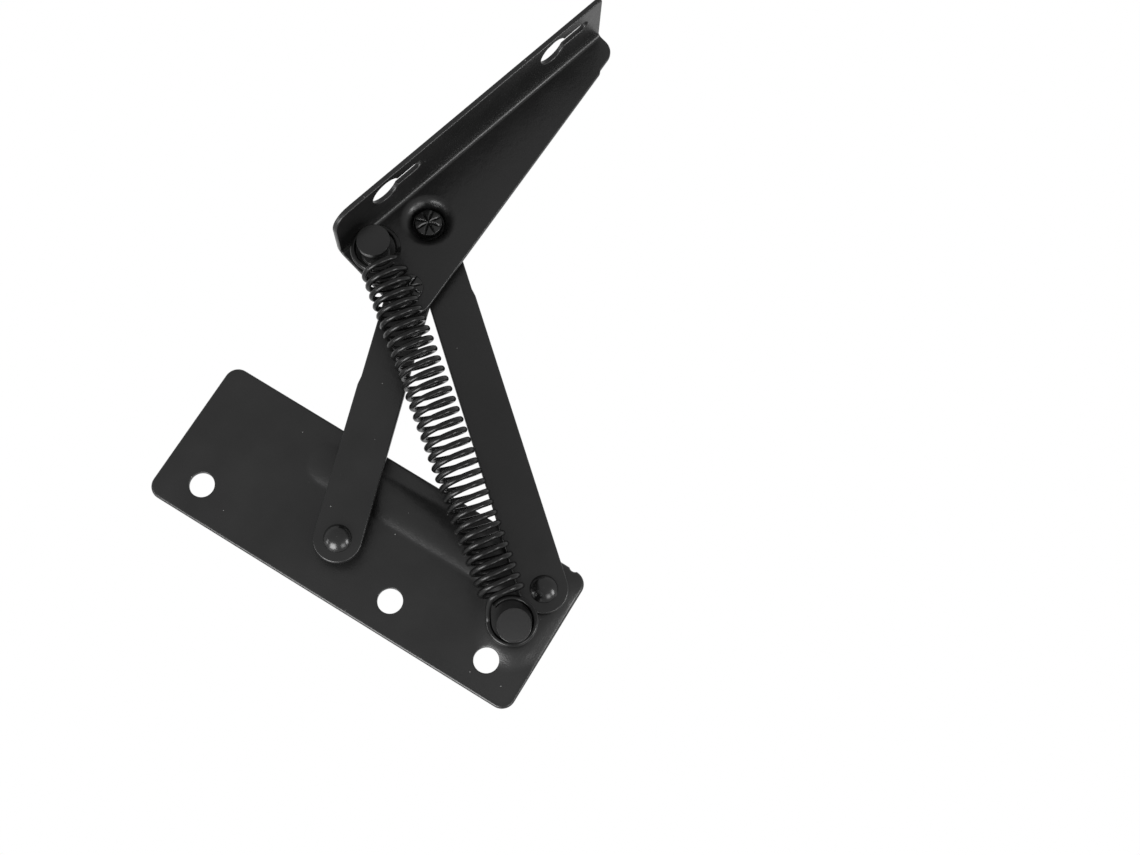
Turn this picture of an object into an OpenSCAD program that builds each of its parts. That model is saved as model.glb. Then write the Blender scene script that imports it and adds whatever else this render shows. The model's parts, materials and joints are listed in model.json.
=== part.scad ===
// Spring-assisted sofa bed hinge, left hand, in its unfolded position.
// The base plate screws flat to the fixed frame and the bracket carries the moving one.
// Two flat links join them as a four-bar linkage, and a tension spring between two studs
// pulls the bracket into either end of its travel.
// The plate's back lies in the plane y = 0 and the mechanism stands out towards -y.
// The origin is midway between the two outer screw holes.

/* [Base plate] */
// Length of the base plate
plate_l = 150; // [142:1:180]
// Height of the base plate
plate_h = 55; // [53:1:75]
// Thickness of the base plate
plate_t = 2; // [1.6:0.1:3]
// Radius of the plate's corners
plate_corner_r = 5; // [2:0.5:8]
// Diameter of the three screw holes
screw_d = 9; // [5:0.5:9.5]
// Distance between the outer screw holes
screw_pitch = 118.5; // [110:0.5:124]
// Distance from the middle screw hole to the right-hand one
screw_mid_pitch = 39.5; // [30:0.5:50]
// Height of the screw holes above the plate's lower edge
screw_up = 12; // [8:0.5:16]
// Width of the small nick in the top edge
nick_w = 3; // [1:0.5:4]
// Depth of the nick
nick_h = 0.7; // [0.3:0.1:1.2]
// Distance from the nick to the plate's right-hand end
nick_in = 6.6; // [6:0.2:20]

/* [Pressed ridge] */
// Height of the ridge above the plate
ridge_h = 2.5; // [1.5:0.1:3.5]
// Width of the ridge at its foot
ridge_w = 15.5; // [12:0.5:16.5]
// Distance from the plate's left-hand end to the ridge
ridge_in = 42; // [30:1:60]
// Run of the ridge's sloped flank
ridge_flank = 2; // [1:0.1:3]
// Radius of the ridge's foot round the pivot and the stud
pad_r = 9; // [8.4:0.1:9.2]
// Inset of the hollow behind the ridge
ridge_inset = 1.2; // [0.8:0.1:1.6]

/* [Linkage] */
// Short link's pivot on the plate, from the origin to the right
short_pivot_x = -6.4; // [-12:0.1:-2]
// Short link's pivot on the plate, up from the origin
short_pivot_z = 8; // [6:0.1:10]
// Long link's pivot on the plate, from the plate's right-hand end
long_pivot_in = 11.4; // [10.5:0.1:15]
// Long link's pivot on the plate, down from the plate's top edge
long_pivot_down = 12.2; // [11:0.1:12.6]
// Length of the short link between its pivots
short_l = 94.3; // [92:0.1:96]
// Length of the long link between its pivots
long_l = 141.2; // [139.5:0.1:143]
// Diameter of the rear head that stops on the long link's edge in the unfolded position
stop_d = 10.32; // [9:0.02:11]
// Width of both links
link_w = 17.2; // [15:0.1:17.6]
// Thickness of both links
link_t = 2.5; // [2:0.1:3.5]
// How much narrower a link is past its step
link_step = 0.5; // [0.2:0.1:1]
// Place of the step along the short link
short_step_at = 57.3; // [40:0.1:75]
// Place of the step along the long link
long_step_at = 111.8; // [90:0.1:120]

/* [Bracket] */
// Thickness of the bracket's sheet
bracket_t = 2; // [1.6:0.1:2.5]
// Width of the flange, with its sheet
flange_w = 28; // [26:0.5:34]
// Length of the flange
flange_l = 129.6; // [126:0.1:140]
// Outer radius of the bend
bend_r = 3.5; // [3:0.1:5]
// Radius of the flange's corner at the wide end
flange_corner_r = 8; // [3:0.5:10]
// Radius of the flange's corner at the narrow end
nose_corner_r = 1.5; // [1:0.5:4]
// Flange's outer face, from the long link's pivot
pivot_down = 14.3; // [13.5:0.1:16]
// Wide end, from the long link's pivot
pivot_in = 31.4; // [31:0.1:33]
// Short link's pivot, from the long link's along the flange
pivot_back = 22.5; // [22:0.1:23.5]
// Short link's pivot, from the long link's away from the flange
pivot_drop = 14.7; // [14:0.1:15.5]
// Slope of the bracket's lower edge
edge_slope = 12.95; // [12:0.05:13.5]
// Width of bracket left under the short link's pivot
edge_margin = 9.8; // [8.8:0.1:11]
// Radius of the tip under the short link's pivot
tip_r = 8; // [5:0.5:8]
// Radius of the lower corner at the narrow end
nose_r = 6; // [3:0.5:6.5]
// Length of the raised stretch of lower edge at the narrow end
nose_l = 9.5; // [7:0.5:12]
// Height of that raised stretch
nose_step = 0.7; // [0.3:0.1:1.2]
// Stud's place, from the long link's pivot along the flange
stud_back = 22.5; // [21:0.1:23]
// Stud's place, from the long link's pivot towards the flange
stud_rise = 3.3; // [2.5:0.1:3.5]

/* [Keyholes] */
// Diameter of the round end of a keyhole
key_d = 12; // [9:0.5:13]
// Width of the slot of a keyhole
key_slot_w = 4.8; // [3.5:0.1:6]
// Reach of the slot from the middle of the round end
key_reach = 16.9; // [14:0.1:18]
// First keyhole, from the wide end
key_in = 23.7; // [20:0.1:26]
// Second keyhole, from the narrow end
key_out = 24.4; // [22:0.1:30]
// Keyholes, down from the flange's free edge
key_down = 8.5; // [8:0.1:10]

/* [Dished seat] */
// Radius of the flat floor round the long link's pivot
dish_floor_r = 5.7; // [5.4:0.1:5.8]
// Radius of the dish at the bracket's front face
dish_rim_r = 8.1; // [7.6:0.1:8.2]
// Thickness of the dish's sloped wall, measured level
dish_wall = 2; // [1.6:0.1:2.1]

/* [Rivets and studs] */
// Diameter of every rivet's shank
shank_d = 6; // [5:0.1:6.4]
// Diameter of a domed head
dome_d = 10; // [8.5:0.1:11]
// Height of a domed head
dome_h = 2.6; // [1.8:0.1:3.5]
// Diameter of a star-pressed head
star_d = 10.2; // [9:0.1:10.6]
// Height of a star-pressed head
star_h = 1.5; // [1.3:0.1:1.7]
// Number of pressed grooves in a star-pressed head
star_grooves = 8; // [6:1:10]
// Width of a pressed groove
groove_w = 1.3; // [0.8:0.1:1.6]
// Depth of a pressed groove
groove_h = 0.65; // [0.3:0.05:0.9]
// Radius of the plain middle between the grooves
star_hub_r = 1.8; // [1.7:0.1:2.5]
// Bevel round a star-pressed head
star_bevel = 0.3; // [0.2:0.02:0.6]
// Diameter of a head that is formed behind a sheet
tail_d = 9; // [8:0.1:9.4]
// Height of a head that is formed behind a sheet
tail_h = 1.5; // [1:0.1:1.6]
// Height of the rear head behind the long link's moving end
link_tail_h = 2; // [1.5:0.1:2.2]
// Depth of the countersink behind the plate
sink_h = 1.5; // [1:0.1:1.6]
// Lower stud, from the long link's pivot towards the plate's left-hand end
low_stud_in = 1.4; // [0:0.1:2]
// Lower stud, down from the long link's pivot
low_stud_down = 17.5; // [17:0.1:18.5]
// Outer diameter of the short link's spacer ring
spacer_d = 14; // [12:0.5:16]
// Height of a stud in front of its sheet
stud_h = 13.3; // [11:0.1:16]
// Diameter of a stud's neck
neck_d = 9.4; // [8.5:0.1:10]
// Diameter of the step at a neck's foot
foot_d = 10.4; // [10.2:0.1:11.5]
// Height of that step
foot_h = 0.9; // [0.5:0.1:1.5]
// Diameter of a stud's head
stud_head_d = 12; // [11:0.1:13]
// Thickness of a stud's head
stud_head_h = 2; // [1.5:0.1:2.5]

/* [Spring] */
// Diameter of the spring's wire
wire_d = 2.1; // [1.6:0.1:2.3]
// Outer diameter of the coil
coil_d = 16.6; // [13:0.1:16.8]
// Number of turns between the two eyes
coil_turns = 32; // [24:1:34]
// Outer diameter of an eye
eye_d = 18.1; // [17:0.1:18.4]
// Distance from a stud's middle to the first full turn
coil_in = 10.7; // [10.4:0.1:13]
// Distance of the coil's axis in front of the eyes
coil_rise = 2.2; // [2:0.1:3]

/* [Clearances] */
// Gap between two layers of sheet
layer_gap = 0.25; // [0.2:0.05:0.5]
// Gap between a shank and its hole, on the radius
bore_gap = 0.05; // [0.03:0.01:0.1]
// Gap under a rivet's head
head_gap = 0.1; // [0.05:0.01:0.2]
// Gap between the stop head and the long link's edge
stop_gap = 0.1; // [0.05:0.01:0.2]
// Gap between the stop head and the ridge that it passes over
stop_clear = 0.75; // [0.4:0.05:1]
// Gap between the spring's wire and its stud
eye_gap = 0.15; // [0.1:0.01:0.3]

/* [Hidden] */

$fn = 64;
paint = [0.15, 0.15, 0.16];
paint_bright = [0.24, 0.24, 0.25];
over = 1;

// Levels in front of the plate's back
plate_top = plate_t;
ridge_top = plate_t + ridge_h;
long_rear = ridge_top + layer_gap;
long_front = long_rear + link_t;
short_rear = long_front + layer_gap;
short_front = short_rear + link_t;
bracket_rear = short_front + layer_gap;
bracket_front = bracket_rear + bracket_t;
flange_edge = bracket_rear + flange_w;
dish_under = long_front + layer_gap;
dish_floor = dish_under + bracket_t;

// Places on the plate
plate_low = -screw_up;
plate_high = plate_low + plate_h;
screws = [-screw_pitch / 2, screw_pitch / 2 - screw_mid_pitch, screw_pitch / 2];
short_pivot = [short_pivot_x, short_pivot_z];
long_pivot = [plate_l / 2 - long_pivot_in, plate_high - long_pivot_down];
ridge_r = ridge_w / 2;
ridge_mid = long_pivot.y - pad_r + ridge_r;
ridge_start = [-plate_l / 2 + ridge_in + ridge_r, ridge_mid];

// The linkage unfolds until the stop head meets the long link's edge, which sets how far
// the short link's moving end is from the long link's pivot on the plate
pivot_span = norm([pivot_back, pivot_drop]);
stop_off = link_w / 2 + stop_gap + stop_d / 2;
stop_along = sqrt(pivot_span * pivot_span - stop_off * stop_off);
stop_reach = norm([long_l - stop_along, stop_off]);

// Places of the moving pivots, from the lengths of the links and that reach
short_end = meeting(long_pivot, stop_reach, short_pivot, short_l);
short_angle = direction(short_end - short_pivot);
long_end = meeting(long_pivot, long_l, short_end, pivot_span);
long_angle = direction(long_end - long_pivot);
bracket_angle = direction(long_end - short_end) - direction([pivot_back, pivot_drop]);

// Studs: the lower one stands on the ridge beside the long link's pivot
lower_stud = long_pivot - [low_stud_in, low_stud_down];
upper_stud = long_end + turned([-stud_back, stud_rise], bracket_angle);

// Spring, in a frame that runs from the lower stud to the upper one
spring_l = norm(upper_stud - lower_stud);
spring_angle = direction(upper_stud - lower_stud);
wire_r = wire_d / 2;
coil_r = coil_d / 2 - wire_r;
eye_r = eye_d / 2 - wire_r;
eye_in = eye_r - wire_r - neck_d / 2 - eye_gap;
eye_under = stud_h - stud_head_h - head_gap - wire_r;
low_level = ridge_top + eye_under;
high_level = bracket_front + eye_under;
eye_from = 30;
eye_to = -285;
join_angle = 65;
coil_rings = 8;
eye_rings = 24;
wire_sides = 6;
bend_steps = 6;
bend_pull = 9;

function turned(p, a) = [p.x * cos(a) - p.y * sin(a), p.x * sin(a) + p.y * cos(a)];

function direction(v) = atan2(v.y, v.x);

// Point at distance ra from a and rb from b, on the right-hand side of the way from a to b
function meeting(a, ra, b, rb) =
    let (d = norm(b - a),
        along = (d * d + ra * ra - rb * rb) / (2 * d),
        off = sqrt(ra * ra - along * along),
        u = (b - a) / d)
    a + along * u + off * [u.y, -u.x];

// Smooth bend between two points that leaves and arrives in the given directions
function bend(p, u, q, v, t) =
    (2 * t * t * t - 3 * t * t + 1) * p + (t * t * t - 2 * t * t + t) * u
    + (3 * t * t - 2 * t * t * t) * q + (t * t * t - t * t) * v;

// Points of the lower eye and of the bend that rises from it to the coil
function eye_point(a) = [eye_in + eye_r * cos(a), eye_r * sin(a), 0];

coil_start = [coil_in, coil_r * cos(join_angle), coil_rise + coil_r * sin(join_angle)];
coil_pitch = (spring_l - 2 * coil_in) / (coil_turns + (180 - 2 * join_angle) / 360);
eye_end_dir = [sin(eye_to), -cos(eye_to), 0];
coil_tangent = [coil_pitch / (2 * PI), -coil_r * sin(join_angle), coil_r * cos(join_angle)];
coil_start_dir = coil_tangent / norm(coil_tangent);
eye_steps = ceil((eye_from - eye_to) / 360 * eye_rings);

eye_path = [
    for (i = [0:eye_steps]) eye_point(eye_from + (eye_to - eye_from) * i / eye_steps),
    for (i = [1:bend_steps - 1]) bend(eye_point(eye_to), bend_pull * eye_end_dir,
        coil_start, bend_pull * coil_start_dir, i / bend_steps)];

coil_sweep = 360 * coil_turns + 180 - 2 * join_angle;
coil_steps = ceil(coil_sweep / 360 * coil_rings);
coil_path = [for (i = [0:coil_steps])
    let (a = join_angle + coil_sweep * i / coil_steps)
    [coil_in + (spring_l - 2 * coil_in) * i / coil_steps, coil_r * cos(a), coil_rise + coil_r * sin(a)]];

// The upper eye is the lower one turned half round
upper_path = [for (i = [len(eye_path) - 1:-1:0])
    [spring_l - eye_path[i].x, -eye_path[i].y, eye_path[i].z]];

// The whole wire, lifted to the line from one stud to the other
wire_line = [for (p = concat(eye_path, coil_path, upper_path)) [p.x, p.y, p.z + wire_level(p.x)]];

// The eyes lie flat, and the coil's axis climbs between them
function wire_level(x) =
    low_level + (high_level - low_level)
    * min(1, max(0, (x - coil_in) / (spring_l - 2 * coil_in)));

// Direction of the wire at each point
wire_dirs = [for (i = [0:len(wire_line) - 1])
    let (d = wire_line[min(i + 1, len(wire_line) - 1)] - wire_line[max(i - 1, 0)])
    d / norm(d)];

// Sideways direction of each section, carried along without twist
wire_sides_dir = [for (i = 0, n = squared([0, 0, 1], wire_dirs[0]); i < len(wire_line);
    i = i + 1, n = i < len(wire_line) ? squared(n, wire_dirs[i]) : n) n];

function squared(n, d) =
    let (m = n - (n * d) * d)
    m / norm(m);

// Least distance between the surfaces of stretches of wire that aren't neighbours
skip = coil_rings - 2;
wire_gap = min([for (i = [0:len(wire_line) - 1 - skip], j = [i + skip:len(wire_line) - 1])
    norm(wire_line[i] - wire_line[j])]) - wire_d;
echo(least_gap_of_the_spring_to_itself_mm = wire_gap);
echo(pivots = [short_pivot, short_end, long_pivot, long_end], bracket_angle = bracket_angle);
echo(studs = [lower_stud, upper_stud], spring_length = spring_l);

// Turns a drawing seen from the front, x right, y up and z towards the viewer, into place
module as_mounted() {
    rotate([90, 0, 0]) children();
}

module on_bracket() {
    translate([long_end.x, long_end.y, 0]) rotate([0, 0, bracket_angle]) children();
}

module at(p, z = 0) {
    translate([p.x, p.y, z]) children();
}

// Frustum and straight run of the pressed ridge, both with the same sloped flank
function flank_r(r, z) = r - ridge_flank * z / ridge_h;

module ridge_end(p, r, z0, z1) {
    at(p, z0) cylinder(h = z1 - z0, r1 = flank_r(r, z0), r2 = flank_r(r, z1));
}

module ridge_run(p, q, r, z0, z1) {
    low = flank_r(r, z0);
    high = flank_r(r, z1);
    at(p) rotate([0, 0, direction(q - p)]) rotate([90, 0, 90])
        linear_extrude(norm(q - p)) polygon([[-low, z0], [low, z0], [high, z1], [-high, z1]]);
}

// The ridge with its two pads, wider or narrower by a margin
module ridge(inset, z0, z1) {
    ridge_end(ridge_start, ridge_r - inset, z0, z1);
    ridge_run(ridge_start, [long_pivot.x, ridge_mid], ridge_r - inset, z0, z1);
    for (p = [long_pivot, lower_stud]) ridge_end(p, pad_r - inset, z0, z1);
    ridge_run(long_pivot, lower_stud, pad_r - inset, z0, z1);
}

module plate_outline() {
    inner = plate_l / 2 - plate_corner_r;
    translate([-plate_l / 2, plate_low + plate_corner_r]) square([plate_l, plate_h - 2 * plate_corner_r]);
    translate([-inner, plate_low]) square([2 * inner, plate_h]);
    for (x = [-inner, inner], y = [plate_low + plate_corner_r, plate_high - plate_corner_r])
        translate([x, y]) circle(plate_corner_r);
}

// The nick is an arc of this radius
nick_r = (nick_w * nick_w / 4 + nick_h * nick_h) / (2 * nick_h);

module base_plate() {
    color(paint) as_mounted() difference() {
        union() {
            linear_extrude(plate_t) plate_outline();
            translate([0, 0, plate_t]) ridge(0, -plate_t / 2, ridge_h);
        }
        ridge(ridge_inset, -over, ridge_h);
        for (x = screws) at([x, 0], -over) cylinder(h = plate_t + 2 * over, d = screw_d);
        for (p = [long_pivot, lower_stud]) at(p, -over) shank_hole(ridge_top + 2 * over);
        at(short_pivot, -over) shank_hole(plate_t + 2 * over);
        at(short_pivot, 0) sunk_tail(bore_gap);
        at([plate_l / 2 - nick_in, plate_high + nick_r - nick_h], -over)
            cylinder(h = plate_t + 2 * over, r = nick_r);
    }
}

module shank_hole(h) {
    cylinder(h = h, r = shank_d / 2 + bore_gap);
}

module shank(z0, z1) {
    translate([0, 0, z0]) cylinder(h = z1 - z0, d = shank_d);
}

// Tail that fills a countersink flush with the plate's back
module sunk_tail(gap) {
    cylinder(h = sink_h, r1 = tail_d / 2 + gap, r2 = shank_d / 2 + gap);
}

module dome(z) {
    r = (dome_d * dome_d / 4 + dome_h * dome_h) / (2 * dome_h);
    translate([0, 0, z]) rotate_extrude() intersection() {
        translate([0, dome_h - r]) circle(r);
        square([r, dome_h]);
    }
}

// Head with grooves pressed from its middle to its rim
module star_head(z) {
    wall = star_h - star_bevel;
    translate([0, 0, z]) difference() {
        union() {
            cylinder(h = wall, d = star_d);
            translate([0, 0, wall]) cylinder(h = star_bevel, d1 = star_d, d2 = star_d - 2 * star_bevel);
        }
        for (i = [0:star_grooves - 1]) rotate([0, 0, i * 360 / star_grooves])
            translate([star_hub_r, 0, 0]) rotate([90, 0, 90]) linear_extrude(star_d)
                polygon([[0, star_h - groove_h], [groove_w, star_h + groove_h], [-groove_w, star_h + groove_h]]);
    }
}

// Stud in front of a sheet, with its formed head behind the sheet
module stud(sheet_rear, sheet_front) {
    top = sheet_front + stud_h;
    translate([0, 0, sheet_rear - tail_h]) cylinder(h = tail_h, d = tail_d);
    shank(sheet_rear - tail_h / 2, sheet_front + foot_h / 2);
    translate([0, 0, sheet_front]) cylinder(h = foot_h, d = foot_d);
    translate([0, 0, sheet_front]) cylinder(h = stud_h - stud_head_h / 2, d = neck_d);
    translate([0, 0, top - stud_head_h]) cylinder(h = stud_head_h, d = stud_head_d);
}

module short_link_spacer() {
    color(paint_bright) as_mounted() at(short_pivot, plate_top) difference() {
        cylinder(h = short_rear - head_gap - plate_top, d = spacer_d);
        translate([0, 0, -over]) shank_hole(short_rear + 2 * over);
    }
}

module short_link_rivet() {
    color(paint_bright) as_mounted() at(short_pivot) {
        sunk_tail(0);
        shank(plate_t / 2, short_front + head_gap + dome_h / 2);
        dome(short_front + head_gap);
    }
}

module long_link_rivet() {
    color(paint_bright) as_mounted() at(long_pivot) {
        translate([0, 0, ridge_h - tail_h]) cylinder(h = tail_h, d = tail_d);
        shank(ridge_h - tail_h / 2, long_front + head_gap + dome_h / 2);
        dome(long_front + head_gap);
    }
}

module lower_spring_stud() {
    color(paint_bright) as_mounted() at(lower_stud) stud(ridge_h, ridge_top);
}

// Flat bar between two pivots, with a small step in its left-hand edge
module link_outline(l, step_at) {
    half = link_w / 2;
    slim = half - link_step;
    ramp = 3 * link_step;
    end_r = half - link_step / 2;
    circle(half);
    translate([l, -link_step / 2]) circle(end_r);
    polygon([[0, -half], [l, -half], [l, slim], [step_at + ramp, slim], [step_at - ramp, half], [0, half]]);
}

module link(l, step_at) {
    difference() {
        linear_extrude(link_t) link_outline(l, step_at);
        for (x = [0, l]) translate([x, 0, -over]) shank_hole(link_t + 2 * over);
    }
}

module short_link() {
    color(paint) as_mounted() at(short_pivot, short_rear) rotate([0, 0, short_angle])
        link(short_l, short_step_at);
}

// The long link is turned over, so its step is on the right
module long_link() {
    color(paint) as_mounted() at(long_pivot, long_front) rotate([0, 0, long_angle])
        rotate([180, 0, 0]) link(long_l, long_step_at);
}

// Rear half of the pivot between the long link and the bracket
module long_link_rivet_tail() {
    color(paint_bright) as_mounted() at(long_end) {
        translate([0, 0, long_rear - link_tail_h]) cylinder(h = link_tail_h, d = star_d);
        shank(long_rear - link_tail_h / 2, long_front);
    }
}

// Corner places of the bracket's plan, along the flange and towards it
wide_end = -pivot_in;
narrow_end = flange_l - pivot_in;
flange_out = pivot_down;
flange_in = pivot_down - bracket_t;
edge_dir = [cos(edge_slope), sin(edge_slope)];
edge_normal = [sin(edge_slope), -cos(edge_slope)];
edge_point = [-pivot_back, -pivot_drop] + edge_margin * edge_normal;
nose_point = edge_point - nose_step * edge_normal;

// Height of a sloped line through a point at a given place along the flange
function line_at(p, s) = p.y + (s - p.x) * tan(edge_slope);

// Middles of the two rounded corners, each tangent to its two edges
tip_mid = [wide_end + tip_r, line_at(edge_point - tip_r * edge_normal, wide_end + tip_r)];
nose_mid = [narrow_end - nose_r, line_at(nose_point - nose_r * edge_normal, narrow_end - nose_r)];
step_at = narrow_end - nose_l;

module bracket_plan() {
    polygon([[wide_end, flange_out], [wide_end, tip_mid.y], tip_mid + tip_r * edge_normal,
        [step_at - 2 * nose_step, line_at(edge_point, step_at - 2 * nose_step)],
        [step_at, line_at(nose_point, step_at)],
        nose_mid + nose_r * edge_normal, [narrow_end, nose_mid.y], [narrow_end, flange_out]]);
    translate(tip_mid) circle(tip_r);
    translate(nose_mid) circle(nose_r);
}

// Section of the bent sheet, across the flange and forwards
module bent_section() {
    reach = pivot_drop + pivot_in;
    bend_in = bend_r - bracket_t;
    translate([-reach, bracket_rear]) square([reach + flange_out - bend_r, bracket_t]);
    translate([flange_in, bracket_rear + bend_r]) square([bracket_t, flange_w - bend_r]);
    translate([flange_out - bend_r, bracket_rear + bend_r]) difference() {
        intersection() {
            circle(bend_r);
            translate([0, -bend_r]) square(bend_r);
        }
        circle(bend_in);
    }
}

// Front view of the flange, along it and forwards, with its two rounded corners
module flange_outline() {
    low = bracket_rear - 2 * over;
    translate([wide_end - over, low]) square([flange_l + 2 * over, bend_r + 3 * over]);
    translate([wide_end, low]) square([flange_l, flange_edge - flange_corner_r - low]);
    translate([wide_end + flange_corner_r, low])
        square([flange_l - flange_corner_r - nose_corner_r, flange_edge - low]);
    translate([narrow_end - 2 * nose_corner_r, low])
        square([2 * nose_corner_r, flange_edge - nose_corner_r - low]);
    translate([wide_end + flange_corner_r, flange_edge - flange_corner_r]) circle(flange_corner_r);
    translate([narrow_end - nose_corner_r, flange_edge - nose_corner_r]) circle(nose_corner_r);
}

// Round end and slot of a keyhole, cut through the flange
module keyhole(s) {
    translate([s, flange_out + over, flange_edge - key_down]) rotate([90, 0, 0]) {
        cylinder(h = bracket_t + 2 * over, d = key_d);
        translate([key_reach - key_slot_w / 2, 0, 0]) cylinder(h = bracket_t + 2 * over, d = key_slot_w);
        translate([0, -key_slot_w / 2, 0])
            cube([key_reach - key_slot_w / 2, key_slot_w, bracket_t + 2 * over]);
    }
}

// Cone whose radius is given where it crosses the dish's floor level
dish_slope = (dish_rim_r - dish_floor_r) / (bracket_front - dish_floor);

module dish_cone(r, z0, z1) {
    translate([0, 0, z0]) cylinder(h = z1 - z0,
        r1 = r + (z0 - dish_floor) * dish_slope, r2 = r + (z1 - dish_floor) * dish_slope);
}

module bracket() {
    color(paint) as_mounted() on_bracket() difference() {
        union() {
            intersection() {
                linear_extrude(flange_edge + over) bracket_plan();
                translate([wide_end - over, 0, 0]) rotate([90, 0, 90])
                    linear_extrude(flange_l + 2 * over) bent_section();
                translate([0, flange_out + over, 0]) rotate([90, 0, 0])
                    linear_extrude(flange_out + over + pivot_drop + pivot_in) flange_outline();
            }
            dish_cone(dish_floor_r + dish_wall, dish_under, bracket_rear + bracket_t / 2);
        }
        dish_cone(dish_floor_r, dish_floor, bracket_front + over);
        translate([0, 0, dish_under - over]) shank_hole(bracket_front);
        at([-pivot_back, -pivot_drop], bracket_rear - over) shank_hole(bracket_t + 2 * over);
        at([-stud_back, stud_rise], bracket_rear - over) shank_hole(bracket_t + 2 * over);
        keyhole(wide_end + key_in);
        keyhole(narrow_end - key_out);
    }
}

// Front half of the pivot between the long link and the bracket
module long_link_star_rivet() {
    color(paint_bright) as_mounted() at(long_end) {
        shank(dish_under, dish_floor + star_h / 4);
        star_head(dish_floor);
    }
}

// Rivet between the short link and the bracket, whose rear head stops on the long link's edge
module short_link_star_rivet() {
    stop_rear = ridge_top + stop_clear;
    color(paint_bright) as_mounted() at(short_end) {
        translate([0, 0, stop_rear]) cylinder(h = short_rear - head_gap - stop_rear, d = stop_d);
        shank(long_front - tail_h, bracket_front + star_h / 4);
        star_head(bracket_front);
    }
}

module upper_spring_stud() {
    color(paint_bright) as_mounted() at(upper_stud) stud(bracket_rear, bracket_front);
}

// Tube along the wire from one of its points to another, closed at both ends
module wire(first, last) {
    points = [for (i = [first:last], k = [0:wire_sides - 1])
        let (a = 360 * k / wire_sides, n = wire_sides_dir[i], d = wire_dirs[i])
        wire_line[i] + wire_r * (cos(a) * n + sin(a) * cross(d, n))];
    rings = last - first;
    sides = [for (i = [0:rings - 1], k = [0:wire_sides - 1])
        let (p = i * wire_sides + k, q = i * wire_sides + (k + 1) % wire_sides)
        each [[p, p + wire_sides, q], [q, p + wire_sides, q + wire_sides]]];
    ends = [for (k = [1:wire_sides - 2])
        each [[0, k, k + 1], [rings * wire_sides, rings * wire_sides + k + 1, rings * wire_sides + k]]];
    at(lower_stud) rotate([0, 0, spring_angle]) polyhedron(points, concat(sides, ends));
}

// The wire's last point of full coil, where the upper eye begins
coil_last = len(eye_path) + len(coil_path) - 1;

module spring() {
    color(paint_bright) as_mounted() wire(0, coil_last);
}

module spring_upper_eye() {
    color(paint_bright) as_mounted() wire(coil_last, len(wire_line) - 1);
}

base_plate();
short_link_spacer();
short_link_rivet();
long_link_rivet();
lower_spring_stud();
short_link();
long_link();
long_link_rivet_tail();
bracket();
long_link_star_rivet();
short_link_star_rivet();
upper_spring_stud();
spring();
spring_upper_eye();
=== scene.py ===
"""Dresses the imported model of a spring-assisted sofa bed hinge.

The hinge is black-painted steel: a pressed base plate, two flat links, a bent bracket,
rivets, two spring studs and a tension spring. The bracket, the links and most of the
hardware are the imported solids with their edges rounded, and the base plate is built with
its soft pressed ridge. The spring's wire and the star-pressed rivet heads are made by
Geometry Nodes. Everything is in metres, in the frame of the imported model: x along the base
plate, z up and the viewer towards -y.
"""
from __future__ import annotations

import json
import logging
import math
from collections.abc import Sequence
from dataclasses import dataclass
from enum import Enum

import bmesh
import bpy
import numpy as np
from bmesh.types import BMEdge, BMesh, BMFace
from bpy.types import Material, Mesh, Node, NodeSocket, NodeTree, Object
from mathutils import Matrix, Vector
from mathutils.geometry import delaunay_2d_cdt

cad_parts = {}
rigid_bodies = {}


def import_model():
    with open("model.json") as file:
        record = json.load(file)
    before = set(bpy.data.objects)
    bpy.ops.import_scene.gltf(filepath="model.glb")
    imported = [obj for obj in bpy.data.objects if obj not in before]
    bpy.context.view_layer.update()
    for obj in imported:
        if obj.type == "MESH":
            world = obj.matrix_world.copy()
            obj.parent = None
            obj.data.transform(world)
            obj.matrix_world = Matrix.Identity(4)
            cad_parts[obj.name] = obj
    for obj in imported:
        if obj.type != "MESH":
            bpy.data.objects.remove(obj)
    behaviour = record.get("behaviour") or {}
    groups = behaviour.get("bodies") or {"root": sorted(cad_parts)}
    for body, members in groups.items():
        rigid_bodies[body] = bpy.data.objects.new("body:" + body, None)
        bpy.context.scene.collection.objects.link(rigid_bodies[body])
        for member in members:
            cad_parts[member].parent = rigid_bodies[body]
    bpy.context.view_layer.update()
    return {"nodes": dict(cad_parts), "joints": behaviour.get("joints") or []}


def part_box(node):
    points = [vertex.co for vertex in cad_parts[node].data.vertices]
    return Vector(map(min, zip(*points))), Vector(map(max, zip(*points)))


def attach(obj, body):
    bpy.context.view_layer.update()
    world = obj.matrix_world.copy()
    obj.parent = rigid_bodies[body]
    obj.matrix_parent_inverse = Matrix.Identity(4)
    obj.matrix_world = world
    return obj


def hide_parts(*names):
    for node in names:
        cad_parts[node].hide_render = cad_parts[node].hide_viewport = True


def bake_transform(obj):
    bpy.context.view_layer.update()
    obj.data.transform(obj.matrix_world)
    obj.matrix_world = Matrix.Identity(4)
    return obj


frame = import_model()

LOG = logging.getLogger("sofa_bed_hinge")
MM = 0.001
FRONT = Vector((0.0, -1.0, 0.0))
# Corners nearer than this are one corner.
SAME_PLACE = 0.0001 * MM
# Room for rounding errors where a place is compared with a radius.
HAIR = 0.1 * MM
# How much large faces outweigh small ones in the normal of a shared corner.
FLAT_WEIGHT = 60


class Slot(Enum):
    """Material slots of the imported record, in the order of the paints in Finishes."""

    PLATE = "plate_paint"
    LINK = "link_paint"
    BRACKET = "bracket_paint"
    HARDWARE = "hardware_paint"
    SPRING = "spring_paint"


class Body(Enum):
    """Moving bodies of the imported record."""

    BASE = "base"
    SHORT_LINK = "short_link"
    LONG_LINK = "long_link"
    BRACKET = "bracket"
    SPRING = "spring"
    SPRING_END = "spring_end"


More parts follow.
